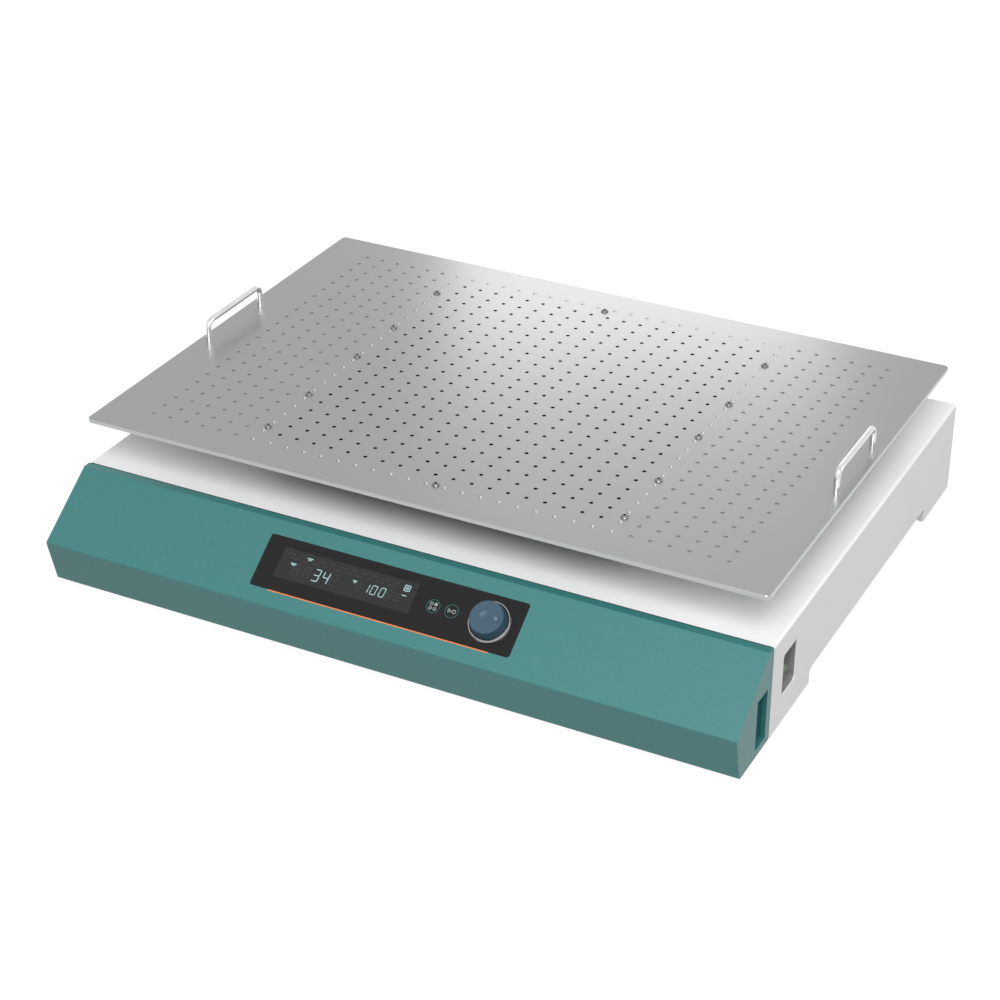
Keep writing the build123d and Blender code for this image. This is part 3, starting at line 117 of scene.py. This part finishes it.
# The bench is a plain white sweep. It shows white to the eye and to glossy surfaces, and keeps
# the shaker's soft shadow.
bpy.ops.mesh.primitive_plane_add(size=12, location=(0, 0, 0))
bench = bpy.context.object
bench.name = "bench"
paper = bpy.data.materials.new("bench_paper")
paper.use_nodes = True
tree = paper.node_tree
tree.nodes.clear()
matt = tree.nodes.new("ShaderNodeBsdfDiffuse")
matt.inputs["Color"].default_value = (0.14, 0.14, 0.14, 1)
glow = tree.nodes.new("ShaderNodeEmission")
glow.inputs["Strength"].default_value = 0.945
dark = tree.nodes.new("ShaderNodeEmission")
dark.inputs["Strength"].default_value = 0.0
gate = tree.nodes.new("ShaderNodeMixShader")
total = tree.nodes.new("ShaderNodeAddShader")
out = tree.nodes.new("ShaderNodeOutputMaterial")
tree.links.new(seen_directly(tree), gate.inputs["Fac"])
tree.links.new(dark.outputs[0], gate.inputs[1])
tree.links.new(glow.outputs[0], gate.inputs[2])
tree.links.new(matt.outputs[0], total.inputs[0])
tree.links.new(gate.outputs[0], total.inputs[1])
tree.links.new(total.outputs[0], out.inputs["Surface"])
bench.data.materials.append(paper)


# The cover is folded from thin steel sheet, screwed to the floor tray and powder-coated white,
# with a faint orange-peel texture. The two foot rails and the raised collars round the crank
# openings have the same coat.


def finish(name, roughness, metallic=0.0, coat=0.0, specular=0.5):
    """A new material with its shader, and Object coordinates to drive its patterns."""
    material = bpy.data.materials.new(name)
    material.use_nodes = True
    shader = material.node_tree.nodes["Principled BSDF"]
    shader.inputs["Roughness"].default_value = roughness
    shader.inputs["Metallic"].default_value = metallic
    shader.inputs["Coat Weight"].default_value = coat
    shader.inputs["Specular IOR Level"].default_value = specular
    material.node_tree.nodes.new("ShaderNodeTexCoord").name = "place"
    return material


def grain(material, scale, detail=3.0, stretch=(1, 1, 1)):
    """A noise pattern in the piece's own coordinates."""
    tree = material.node_tree
    mapping = tree.nodes.new("ShaderNodeMapping")
    mapping.inputs["Scale"].default_value = stretch
    noise = tree.nodes.new("ShaderNodeTexNoise")
    noise.inputs["Scale"].default_value = scale
    noise.inputs["Detail"].default_value = detail
    tree.links.new(tree.nodes["place"].outputs["Object"], mapping.inputs["Vector"])
    tree.links.new(mapping.outputs["Vector"], noise.inputs["Vector"])
    return noise.outputs["Fac"]


def tint(material, pattern, low, high, start=0.3, end=0.7):
    """Colour that drifts between two tones along a pattern."""
    tree = material.node_tree
    ramp = tree.nodes.new("ShaderNodeValToRGB")
    ramp.color_ramp.elements[0].position = start
    ramp.color_ramp.elements[0].color = (*low, 1)
    ramp.color_ramp.elements[1].position = end
    ramp.color_ramp.elements[1].color = (*high, 1)
    tree.links.new(pattern, ramp.inputs["Fac"])
    tree.links.new(ramp.outputs["Color"], tree.nodes["Principled BSDF"].inputs["Base Color"])


def gloss(material, pattern, low, high):
    """Roughness that drifts between two values along a pattern."""
    tree = material.node_tree
    span = tree.nodes.new("ShaderNodeMapRange")
    span.inputs["To Min"].default_value = low
    span.inputs["To Max"].default_value = high
    tree.links.new(pattern, span.inputs["Value"])
    tree.links.new(span.outputs["Result"], tree.nodes["Principled BSDF"].inputs["Roughness"])


def relief(material, pattern, height, strength=1.0):
    """Fine relief, its height in metres."""
    tree = material.node_tree
    bump = tree.nodes.new("ShaderNodeBump")
    bump.inputs["Distance"].default_value = height
    bump.inputs["Strength"].default_value = strength
    tree.links.new(pattern, bump.inputs["Height"])
    tree.links.new(bump.outputs["Normal"], tree.nodes["Principled BSDF"].inputs["Normal"])


def dress(material, *names):
    """CAD nodes that carry a material."""
    for name in names:
        for holder in nodes[name].material_slots:
            holder.material = material


powder_white = finish("powder_white", 0.42)
peel = grain(powder_white, 1400, 2.0)
tint(powder_white, grain(powder_white, 9), (0.83, 0.83, 0.83), (0.86, 0.86, 0.86))
gloss(powder_white, peel, 0.38, 0.48)
relief(powder_white, peel, 0.00003)
dress(powder_white, "cover", "front_foot_rail", "rear_foot_rail", "splash_collars")

# The fascia is one injection moulding in teal plastic with a fine spark-eroded texture. It
# stands before the cover, held by screws that go through the bulkhead into its bosses.
teal_moulding = finish("teal_moulding", 0.40, specular=0.65)
spark = grain(teal_moulding, 2600, 2.0)
tint(teal_moulding, grain(teal_moulding, 300), (0.024, 0.158, 0.154), (0.028, 0.170, 0.166))
gloss(teal_moulding, spark, 0.36, 0.5)
relief(teal_moulding, spark, 0.00004)
dress(teal_moulding, "fascia")

# A dark rubber strip closes the seam between fascia and cover, and four rubber feet carry the
# shaker on the bench.
dark_rubber = finish("dark_rubber", 0.75)
bloom = grain(dark_rubber, 220)
tint(dark_rubber, bloom, (0.008, 0.011, 0.011), (0.016, 0.020, 0.020))
relief(dark_rubber, grain(dark_rubber, 1500), 0.00004)
dress(dark_rubber, "front_seal", "rubber_feet")

# The platform is an aluminium plate, drilled on a square grid, milled along its edges and
# anodised satin on top. The bore walls carry painted light and shade: painted black shade over
# the open carriage, a painted white highlight in the middle over its pale flange, and painted
# grey light beyond it, where light comes up from the white cover, under a painted dark band.
satin_plate = finish("satin_plate", 0.3, metallic=1.0)
drift = grain(satin_plate, 3.0)
fine = grain(satin_plate, 1800, 2.0)
gloss(satin_plate, fine, 0.27, 0.34)
relief(satin_plate, fine, 0.00001)


def node_of(material, kind, operation, first, second=None):
    """A math or vector math node of the material, fed with sockets or plain numbers."""
    tree = material.node_tree
    node = tree.nodes.new(kind)
    node.operation = operation
    for socket, value in zip(node.inputs, (first, second)):
        if isinstance(value, bpy.types.NodeSocket):
            tree.links.new(value, socket)
        elif value is not None:
            socket.default_value = value
    return node.outputs[0]


def blend_colour(material, mask, low, high):
    """A mix of two colours by a mask, each a colour or a socket."""
    tree = material.node_tree
    mix = tree.nodes.new("ShaderNodeMix")
    mix.data_type = "RGBA"
    tree.links.new(mask, mix.inputs["Factor"])
    for socket, value in ((mix.inputs[6], low), (mix.inputs[7], high)):
        if isinstance(value, bpy.types.NodeSocket):
            tree.links.new(value, socket)
        else:
            socket.default_value = (*value, 1)
    return mix.outputs[2]


def math_of(operation, first, second=None):
    """A math node of the platform's material."""
    return node_of(satin_plate, "ShaderNodeMath", operation, first, second)


def inside(half_x, half_y):
    """1 within a rectangle about the platform's middle."""
    near_x = math_of("LESS_THAN", across_plate, half_x)
    near_y = math_of("LESS_THAN", along_plate, half_y)
    return math_of("MULTIPLY", near_x, near_y)


hole_radius = 0.0021
hole_pitch = 0.02
hole_columns = 33
hole_rows = 23
bored_half_x = hole_pitch * hole_columns / 2 + 0.005
bored_half_y = hole_pitch * hole_rows / 2 + 0.005
# Depth of the painted shade band at the top of each bore, and half-width of the painted highlight
# spot in the bores over the flange.
shade_band_depth = 0.0011
highlight_spot_half_width = 0.0013
plate_low, plate_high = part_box("platform")
plate_middle = (plate_low[1] + plate_high[1]) / 2
flange_low, flange_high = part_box("carriage_frame")
flange_half_x = (flange_high[0] - flange_low[0]) / 2
flange_half_y = (flange_high[1] - flange_low[1]) / 2
flange_width = 0.022
split = satin_plate.node_tree.nodes.new("ShaderNodeSeparateXYZ")
plate_place = satin_plate.node_tree.nodes["place"].outputs["Object"]
satin_plate.node_tree.links.new(plate_place, split.inputs[0])
across_plate = math_of("ABSOLUTE", split.outputs["X"])
along_plate = math_of("ABSOLUTE", math_of("SUBTRACT", split.outputs["Y"], plate_middle))
surface = satin_plate.node_tree.nodes.new("ShaderNodeNewGeometry")
facing = satin_plate.node_tree.nodes.new("ShaderNodeSeparateXYZ")
satin_plate.node_tree.links.new(surface.outputs["Normal"], facing.inputs[0])
upright = math_of("LESS_THAN", math_of("ABSOLUTE", facing.outputs["Z"]), 0.5)
within = inside(bored_half_x, bored_half_y)
bore = math_of("MULTIPLY", upright, within)
over_frame = inside(flange_half_x, flange_half_y)
over_hollow = inside(flange_half_x - flange_width, flange_half_y - flange_width)
# Painted light and shade in the bores: the dark band under the rim is painted shade, the grey below
# it is painted light from the cover, the white spot over the flange is a painted highlight, and the
# black over the hollow is painted shade.
painted_shade_band = math_of("GREATER_THAN", split.outputs["Z"], plate_high[2] - shade_band_depth)
grey_bore_painted_light_and_shade = blend_colour(satin_plate, painted_shade_band, (0.42, 0.42, 0.42), (0.16, 0.165, 0.17))
from_axis = math_of("PINGPONG", across_plate, hole_pitch / 2)
painted_highlight_spot = math_of("LESS_THAN", from_axis, highlight_spot_half_width)
flange_bore_painted_highlight = blend_colour(satin_plate, painted_highlight_spot, (0.30, 0.31, 0.31), (0.9, 0.9, 0.9))
outer_bores_painted_light_and_shade = blend_colour(satin_plate, over_frame, grey_bore_painted_light_and_shade, flange_bore_painted_highlight)
bore_painted_light_and_shade = blend_colour(satin_plate, over_hollow, outer_bores_painted_light_and_shade, (0.006, 0.006, 0.006))
skin_drift = satin_plate.node_tree.nodes.new("ShaderNodeMapRange")
satin_plate.node_tree.links.new(drift, skin_drift.inputs["Value"])
skin_tone = blend_colour(
    satin_plate, skin_drift.outputs["Result"], (0.330, 0.336, 0.340), (0.345, 0.352, 0.356)
)
underside = math_of("LESS_THAN", facing.outputs["Z"], -0.5)
skin_tone = blend_colour(satin_plate, underside, skin_tone, (0.80, 0.80, 0.80))
milled_edge = math_of("MULTIPLY", upright, math_of("SUBTRACT", 1.0, within))
skin_tone = blend_colour(satin_plate, milled_edge, skin_tone, (0.46, 0.48, 0.48))
plate_shader = satin_plate.node_tree.nodes["Principled BSDF"]
satin_plate.node_tree.links.new(
    blend_colour(satin_plate, bore, skin_tone, bore_painted_light_and_shade), plate_shader.inputs["Base Color"]
)
satin_plate.node_tree.links.new(
    math_of("SUBTRACT", 1.0, bore), plate_shader.inputs["Metallic"]
)
dress(satin_plate, "platform")

# Each hole in the platform has a small bright chamfer, cut by the countersink after the plate
# was anodised. One ring is shaped and then repeated over the grid.
chamfer_width = 0.00035
chamfer_depth = 0.00022
chamfer_lift = 0.00002
bpy.ops.mesh.primitive_circle_add(
    vertices=12,
    radius=hole_radius + chamfer_width,
    location=(
        -hole_pitch * (hole_columns - 1) / 2,
        plate_middle - hole_pitch * (hole_rows - 1) / 2,
        plate_high[2] + chamfer_lift,
    ),
)
rims = bpy.context.object
rims.name = "hole_rims"
bpy.ops.object.mode_set(mode="EDIT")
bpy.ops.mesh.extrude_region_move(TRANSFORM_OT_translate={"value": (0, 0, -chamfer_depth)})
narrowing = hole_radius / (hole_radius + chamfer_width)
bpy.ops.transform.resize(value=(narrowing, narrowing, 1), center_override=rims.location)
bpy.ops.object.mode_set(mode="OBJECT")
bpy.ops.object.transform_apply(location=True)
for name, count, step in (
    ("columns", hole_columns, (hole_pitch, 0, 0)),
    ("rows", hole_rows, (0, hole_pitch, 0)),
):
    grid = rims.modifiers.new(name, "ARRAY")
    grid.count = count
    grid.use_relative_offset = False
    grid.use_constant_offset = True
    grid.constant_offset_displace = step
    bpy.ops.object.modifier_apply(modifier=name)
bright_chamfer = finish("bright_chamfer", 0.3, metallic=1.0)
tint(bright_chamfer, grain(bright_chamfer, 900), (0.36, 0.37, 0.37), (0.5, 0.51, 0.51))
rims.data.materials.append(bright_chamfer)
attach(rims, "carriage")

# The carriage that carries the platform is a machined aluminium ring, screwed to a black
# coated cast web with the bearing hubs. The motor's housing has the same coat.
machined = finish("machined_aluminium", 0.3, metallic=1.0)
cuts = grain(machined, 60, 3.0, (1, 30, 1))
tint(machined, cuts, (0.55, 0.56, 0.57), (0.70, 0.71, 0.72))
gloss(machined, cuts, 0.25, 0.42)
dress(machined, "carriage_frame", "motor_pulley", "mechanism_plate")

black_coat = finish("black_coat", 0.55)
tint(black_coat, grain(black_coat, 90), (0.012, 0.012, 0.013), (0.03, 0.03, 0.032))
relief(black_coat, grain(black_coat, 900), 0.00005)
dress(black_coat, "carriage_web", "motor_housing")

# Cranks, shafts and the counterweight are turned from plain steel and keep the fine rings of
# the tool. The cranks run in ball bearings.
turned_steel = finish("turned_steel", 0.3, metallic=1.0)
rings = grain(turned_steel, 500, 2.0, (0.1, 0.1, 6))
tint(turned_steel, rings, (0.42, 0.42, 0.43), (0.62, 0.62, 0.62))
gloss(turned_steel, rings, 0.22, 0.4)
dress(turned_steel, "drive_crank", "counterweight", "motor_shaft", "encoder_shaft")
for end in ("front", "rear"):
    for side in ("left", "right"):
        dress(turned_steel, "idler_crank_" + end + "_" + side)

# Bearing rings are hardened steel, ground bright, and pressed into their housings. The
# housings and the large pulley are cast in aluminium and left rough where nothing seats.
ground_steel = finish("ground_steel", 0.12, metallic=1.0)
tint(ground_steel, grain(ground_steel, 40), (0.6, 0.6, 0.62), (0.72, 0.72, 0.73))
dress(ground_steel, "drive_bearings", "idler_bearings", "carriage_bearings")
cast_metal = finish("cast_metal", 0.5, metallic=1.0)
tint(cast_metal, grain(cast_metal, 70), (0.36, 0.37, 0.38), (0.5, 0.51, 0.52))
relief(cast_metal, grain(cast_metal, 700), 0.00008)
dress(cast_metal, "drive_housing", "idler_housings", "drive_pulley")

# The chassis is folded from zinc-coated steel sheet, which shows a soft spangle: the floor
# tray, the bulkhead behind the fascia, the motor's mount and the power supply's case.
zinc_sheet = finish("zinc_sheet", 0.35, metallic=1.0)
spangle = grain(zinc_sheet, 120, 1.0)
tint(zinc_sheet, spangle, (0.48, 0.49, 0.5), (0.62, 0.63, 0.64))
gloss(zinc_sheet, spangle, 0.28, 0.45)
dress(zinc_sheet, "floor_tray", "front_bulkhead", "motor_mount", "power_supply")

# Screws are bright zinc where they hold outer pieces, black oxide inside, and plain domed
# stainless steel on the platform.
screw_zinc = finish("screw_zinc", 0.22, metallic=1.0)
tint(screw_zinc, grain(screw_zinc, 300), (0.58, 0.58, 0.57), (0.74, 0.74, 0.72))
dress(screw_zinc, "handle_screws", "foot_screws", "cover_screws", "fascia_screws", "inlet_screws")
dome_steel = finish("dome_steel", 0.2, metallic=1.0)
tint(dome_steel, grain(dome_steel, 300), (0.20, 0.20, 0.20), (0.27, 0.27, 0.27))
dress(dome_steel, "platform_screws")
screw_black = finish("screw_black", 0.4, metallic=0.8)
tint(screw_black, grain(screw_black, 300), (0.03, 0.03, 0.03), (0.07, 0.07, 0.07))
dress(screw_black, "chassis_screws", "housing_screws", "counterweight_screws", "web_screws")

# The two handles are bent from stainless rod, polished, and screwed to the platform from
# below.
polished = finish("polished_steel", 0.12, metallic=1.0)
tint(polished, grain(polished, 50), (0.66, 0.67, 0.68), (0.76, 0.77, 0.78))
dress(polished, "handle_left", "handle_right")

# The control panel's lens is black gloss acrylic, glued into the fascia's recess, with an
# orange strip along its lower edge. Two keys with thin printed rings and the dial in its bright
# ring stand to the right of the window.
lens_black = finish("lens_black", 0.16, specular=0.3)
smears = grain(lens_black, 25)
tint(lens_black, smears, (0.003, 0.0028, 0.0028), (0.005, 0.0045, 0.0045))
gloss(lens_black, smears, 0.14, 0.20)
dress(lens_black, "control_lens", "mode_key", "start_key", "display_module")
orange_strip = finish("orange_strip", 0.35)
tint(orange_strip, grain(orange_strip, 80), (0.64, 0.19, 0.075), (0.70, 0.22, 0.085))
dress(orange_strip, "accent_strip")
ring_teal = finish("ring_teal", 0.35)
tint(ring_teal, grain(ring_teal, 200), (0.018, 0.11, 0.11), (0.024, 0.14, 0.14))
dress(ring_teal, "key_rings")
knob_blue = finish("knob_blue", 0.38)
tint(knob_blue, grain(knob_blue, 150), (0.027, 0.069, 0.108), (0.032, 0.078, 0.120))
relief(knob_blue, grain(knob_blue, 2500, 2.0), 0.00003)
dress(knob_blue, "jog_knob")
bright_ring = finish("bright_ring", 0.2, metallic=1.0)
tint(bright_ring, grain(bright_ring, 400), (0.30, 0.29, 0.28), (0.38, 0.37, 0.36))
dress(bright_ring, "knob_ring")

# The panel's own frame: across the fascia, up its slope and out of it. The dial's joint gives
# the tilt, and its place on the panel gives the origin, at the top edge of the slanted face.
dial = next(joint for joint in frame["joints"] if joint["name"] == "knob_turn")
outward = Vector(dial["axis"]).normalized()
up_slope = outward.cross(Vector((1, 0, 0)))
dial_x = 0.112
dial_line = 0.0446
panel_origin = Vector(dial["pos_m"]) - Vector((dial_x, 0, 0)) + up_slope * dial_line
panel_frame = Matrix((
    (1, up_slope.x, outward.x, panel_origin.x),
    (0, up_slope.y, outward.y, panel_origin.y),
    (0, up_slope.z, outward.z, panel_origin.z),
    (0, 0, 0, 1),
))


def height_of(name):
    """How far a CAD node reaches out of the slanted face."""
    return max(outward.dot(corner.co - panel_origin) for corner in nodes[name].data.vertices)


def tile(width, height, corner, rise, rounding=1, stroke=None):
    """A thin flat tile with cut or round corners, or only its border if a stroke is given."""
    bpy.ops.object.select_all(action="DESELECT")
    bpy.ops.mesh.primitive_plane_add(size=1)
    piece = bpy.context.object
    piece.scale = (width, height, 1)
    bpy.ops.object.transform_apply(scale=True)
    bpy.ops.object.mode_set(mode="EDIT")
    bpy.ops.mesh.select_all(action="SELECT")
    bpy.ops.mesh.bevel(offset=corner, segments=rounding, affect="VERTICES")
    bpy.ops.mesh.select_all(action="SELECT")
    if stroke:
        bpy.ops.mesh.inset(thickness=stroke)
        bpy.ops.mesh.delete(type="FACE")
        bpy.ops.mesh.select_all(action="SELECT")
    bpy.ops.mesh.extrude_region_move(TRANSFORM_OT_translate={"value": (0, 0, rise)})
    bpy.ops.mesh.select_all(action="SELECT")
    bpy.ops.mesh.normals_make_consistent(inside=False)
    bpy.ops.object.mode_set(mode="OBJECT")
    return piece


def onto_panel(piece, x, line, lift, turn=0.0):
    """A piece laid on the panel: across, down the slope, and out of it, with a turn in place."""
    place = Matrix.Translation((x, -line, lift)) @ Matrix.Rotation(turn, 4, "Z")
    piece.matrix_world = panel_frame @ place
    bpy.ops.object.select_all(action="DESELECT")
    piece.select_set(True)
    bpy.context.view_layer.objects.active = piece
    bpy.ops.object.transform_apply(location=True, rotation=True, scale=True)
    return piece


def joined(name, material, body, pieces):
    """Pieces of one tone joined into one object on a body."""
    bpy.ops.object.select_all(action="DESELECT")
    for piece in pieces:
        piece.select_set(True)
    bpy.context.view_layer.objects.active = pieces[0]
    if len(pieces) > 1:
        bpy.ops.object.join()
    whole = bpy.context.object
    whole.name = name
    whole.data.materials.clear()
    whole.data.materials.append(material)
    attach(whole, body)
    return whole


# The display's window is a smoked grey field in the lens, printed from behind and a little
# lighter than its border.
skin = 0.00004
lens_top = height_of("control_lens")
window_x = -0.0475
window_line = 0.0427
smoked = finish("smoked_window", 0.2, specular=0.35)
tint(smoked, grain(smoked, 30), (0.012, 0.0125, 0.0125), (0.015, 0.0155, 0.0155))
field = onto_panel(tile(0.1523, 0.0325, 0.0008, skin, 3), window_x, window_line, lens_top)
joined("display_window", smoked, "base", [field])


def lit(name, colour, strength):
    """A finish that glows by itself, with a slight drift in its brightness."""
    material = finish(name, 0.3)
    tint(material, grain(material, 400), tuple(0.7 * part for part in colour), colour)
    shader = material.node_tree.nodes["Principled BSDF"]
    shader.inputs["Emission Color"].default_value = (*colour, 1)
    shader.inputs["Emission Strength"].default_value = strength
    return material


# Seven-segment digits: bars with pointed ends, leaning a little to the right. The lit ones are
# pale green, and the unlit ones show as ghosts.
digit_lean = math.radians(5.5)
bars = {
    "a": (0, 1, False), "g": (0, 0, False), "d": (0, -1, False), "f": (-1, 0.5, True),
    "b": (1, 0.5, True), "e": (-1, -0.5, True), "c": (1, -0.5, True),
}
shapes = {"0": "abcdef", "1": "bc", "3": "abcdg", "4": "bcfg", "8": "abcdefg"}


def digit(shape, x, line, width, height, stroke, lift):
    """The bars of one digit, about its middle."""
    made = []
    reach_x = (width - stroke) / 2
    reach_y = (height - stroke) / 2
    for letter in shapes[shape]:
        side, level, standing = bars[letter]
        length = reach_y if standing else 2 * reach_x
        bar = tile(length - 0.0002, stroke, 0.45 * stroke, skin)
        rise = level * reach_y
        across = x + side * reach_x + math.tan(digit_lean) * rise
        turn = math.pi / 2 - digit_lean if standing else 0.0
        made.append(onto_panel(bar, across, line - rise, lift, turn))
    return made


lit_green = lit("lit_segments", (0.30, 0.46, 0.46), 0.42)
lit_lift = lens_top + 2 * skin
shown = digit("3", -0.0790, 0.0466, 0.0074, 0.0134, 0.0010, lit_lift)
shown += digit("4", -0.0685, 0.0466, 0.0071, 0.0134, 0.0010, lit_lift)
shown += digit("1", -0.0233, 0.0453, 0.0058, 0.0102, 0.0008, lit_lift)
shown += digit("0", -0.0147, 0.0453, 0.0060, 0.0102, 0.0008, lit_lift)
shown += digit("0", -0.0054, 0.0453, 0.0060, 0.0102, 0.0008, lit_lift)
joined("lit_digits", lit_green, "base", shown)

# Small lit marks beside the digits: bars and dots without letters, and a symbol of a platform
# that moves in a circle.
marks = []
mark_places = ((-0.0926, 0.0324, 0.0068), (-0.1075, 0.0418, 0.0066), (-0.0374, 0.0418, 0.0047))
for x, line, length in mark_places:
    marks.append(onto_panel(tile(length, 0.0011, 0.0004, skin), x, line - 0.0006, lit_lift))
    marks.append(onto_panel(tile(0.6 * length, 0.0009, 0.0003, skin), x, line + 0.0010, lit_lift))
marks.append(onto_panel(tile(0.0068, 0.0068, 0.0012, skin, 3, 0.0009), 0.0180, 0.0341, lit_lift))
marks.append(onto_panel(tile(0.0034, 0.0034, 0.0016, skin, 4, 0.0007), 0.0180, 0.0341, lit_lift))
marks.append(onto_panel(tile(0.0026, 0.0008, 0.0003, skin), 0.0180, 0.0341, lit_lift, 0.8))
marks.append(onto_panel(tile(0.0052, 0.0010, 0.0004, skin), 0.0178, 0.0421, lit_lift))
joined("lit_marks", lit_green, "base", marks)

ghost = finish("ghost_segments", 0.3)
tint(ghost, grain(ghost, 400), (0.017, 0.0175, 0.0175), (0.021, 0.0215, 0.0215))
ghost_lift = lens_top + skin
faint = []
for x in (-0.1022, -0.0903, -0.0592):
    faint += digit("8", x, 0.0466, 0.0072, 0.0128, 0.0011, ghost_lift)
for x in (-0.0316, 0.0026):
    faint += digit("8", x, 0.0453, 0.0056, 0.0100, 0.0009, ghost_lift)
for step in range(3):
    line = 0.0425 + 0.0033 * step
    faint.append(onto_panel(tile(0.0088, 0.0010, 0.0003, skin), 0.0108, line, ghost_lift))
for x in (-0.0525, -0.0480):
    for line in (0.0445, 0.0490):
        faint.append(onto_panel(tile(0.0012, 0.0012, 0.0005, skin, 2), x, line, ghost_lift))
for step in range(11):
    x = -0.1135 + 0.0118 * step
    faint.append(onto_panel(tile(0.0078, 0.0012, 0.0004, skin), x, 0.0316, ghost_lift))
joined("ghost_segments", ghost, "base", faint)
ember = finish("unlit_red_marks", 0.3)
tint(ember, grain(ember, 400), (0.022, 0.014, 0.0135), (0.027, 0.016, 0.015))
red_marks = []
for step in range(10):
    x = -0.1090 + 0.0122 * step
    red_marks.append(onto_panel(tile(0.0084, 0.0011, 0.0004, skin), x, 0.0356, ghost_lift))
joined("unlit_red_marks", ember, "base", red_marks)

# Icons printed on the key caps: four rounded squares, and a start triangle beside a stop square.
key_print = finish("key_print", 0.4)
tint(key_print, grain(key_print, 500), (0.27, 0.28, 0.28), (0.34, 0.35, 0.35))
mode_top = height_of("mode_key")
mode_x = 0.0510
key_line = 0.0446
squares = []
for x, rise, border in ((-1, 1, 0.0007), (1, 1, None), (-1, -1, 0.0007), (1, -1, 0.0007)):
    square = tile(0.0032, 0.0032, 0.0007, skin, 3, border)
    squares.append(onto_panel(square, mode_x + 0.0024 * x, key_line - 0.0024 * rise, mode_top))
joined("mode_icon", key_print, "mode_key", squares)
start_top = height_of("start_key")
start_x = 0.0711


def triangle(size, stroke):
    """A flat triangle outline that points to the right."""
    bpy.ops.object.select_all(action="DESELECT")
    bpy.ops.mesh.primitive_circle_add(vertices=3, radius=size, fill_type="NGON")
    piece = bpy.context.object
    bpy.ops.object.mode_set(mode="EDIT")
    bpy.ops.mesh.select_all(action="SELECT")
    bpy.ops.transform.rotate(value=math.pi / 2, orient_axis="Z", center_override=(0, 0, 0))
    bpy.ops.mesh.bevel(offset=0.15 * size, segments=2, affect="VERTICES")
    bpy.ops.mesh.select_all(action="SELECT")
    bpy.ops.mesh.inset(thickness=stroke)
    bpy.ops.mesh.delete(type="FACE")
    bpy.ops.mesh.select_all(action="SELECT")
    bpy.ops.mesh.extrude_region_move(TRANSFORM_OT_translate={"value": (0, 0, skin)})
    bpy.ops.mesh.select_all(action="SELECT")
    bpy.ops.mesh.normals_make_consistent(inside=False)
    bpy.ops.object.mode_set(mode="OBJECT")
    return piece


start_mark = [
    onto_panel(triangle(0.0027, 0.0007), start_x - 0.0027, key_line, start_top),
    onto_panel(tile(0.0038, 0.0038, 0.0008, skin, 3, 0.0007), start_x + 0.0025, key_line, start_top),
]
joined("start_icon", key_print, "start_key", start_mark)

# The power rocker sits in a grey moulded pocket in the cover's right side, in a black switch
# body. The mains inlet at the back and the dial's encoder are the same black plastic.
grey_moulding = finish("grey_moulding", 0.5)
tint(grey_moulding, grain(grey_moulding, 300), (0.22, 0.225, 0.225), (0.26, 0.265, 0.265))
dress(grey_moulding, "switch_pocket")
black_moulding = finish("black_moulding", 0.45)
tint(black_moulding, grain(black_moulding, 300), (0.018, 0.018, 0.018), (0.03, 0.03, 0.03))
relief(black_moulding, grain(black_moulding, 2000), 0.00003)
dress(black_moulding, "switch_body", "power_inlet", "encoder")
rocker_green = finish("rocker_green", 0.25)
tint(rocker_green, grain(rocker_green, 100), (0.004, 0.045, 0.008), (0.006, 0.060, 0.011))
dress(rocker_green, "power_rocker")

# Inner electrics: green circuit boards, the black ribbed belt between the pulleys, and the
# grey silicone mat under the two keys.
board_green = finish("board_green", 0.4)
tint(board_green, grain(board_green, 150), (0.015, 0.12, 0.06), (0.03, 0.2, 0.1))
dress(board_green, "control_board", "motor_controller")
belt_black = finish("belt_black", 0.7)
tint(belt_black, grain(belt_black, 200), (0.012, 0.012, 0.012), (0.025, 0.025, 0.025))
dress(belt_black, "drive_belt")
silicone_grey = finish("silicone_grey", 0.6)
tint(silicone_grey, grain(silicone_grey, 150), (0.42, 0.43, 0.43), (0.5, 0.51, 0.51))
dress(silicone_grey, "key_mat")
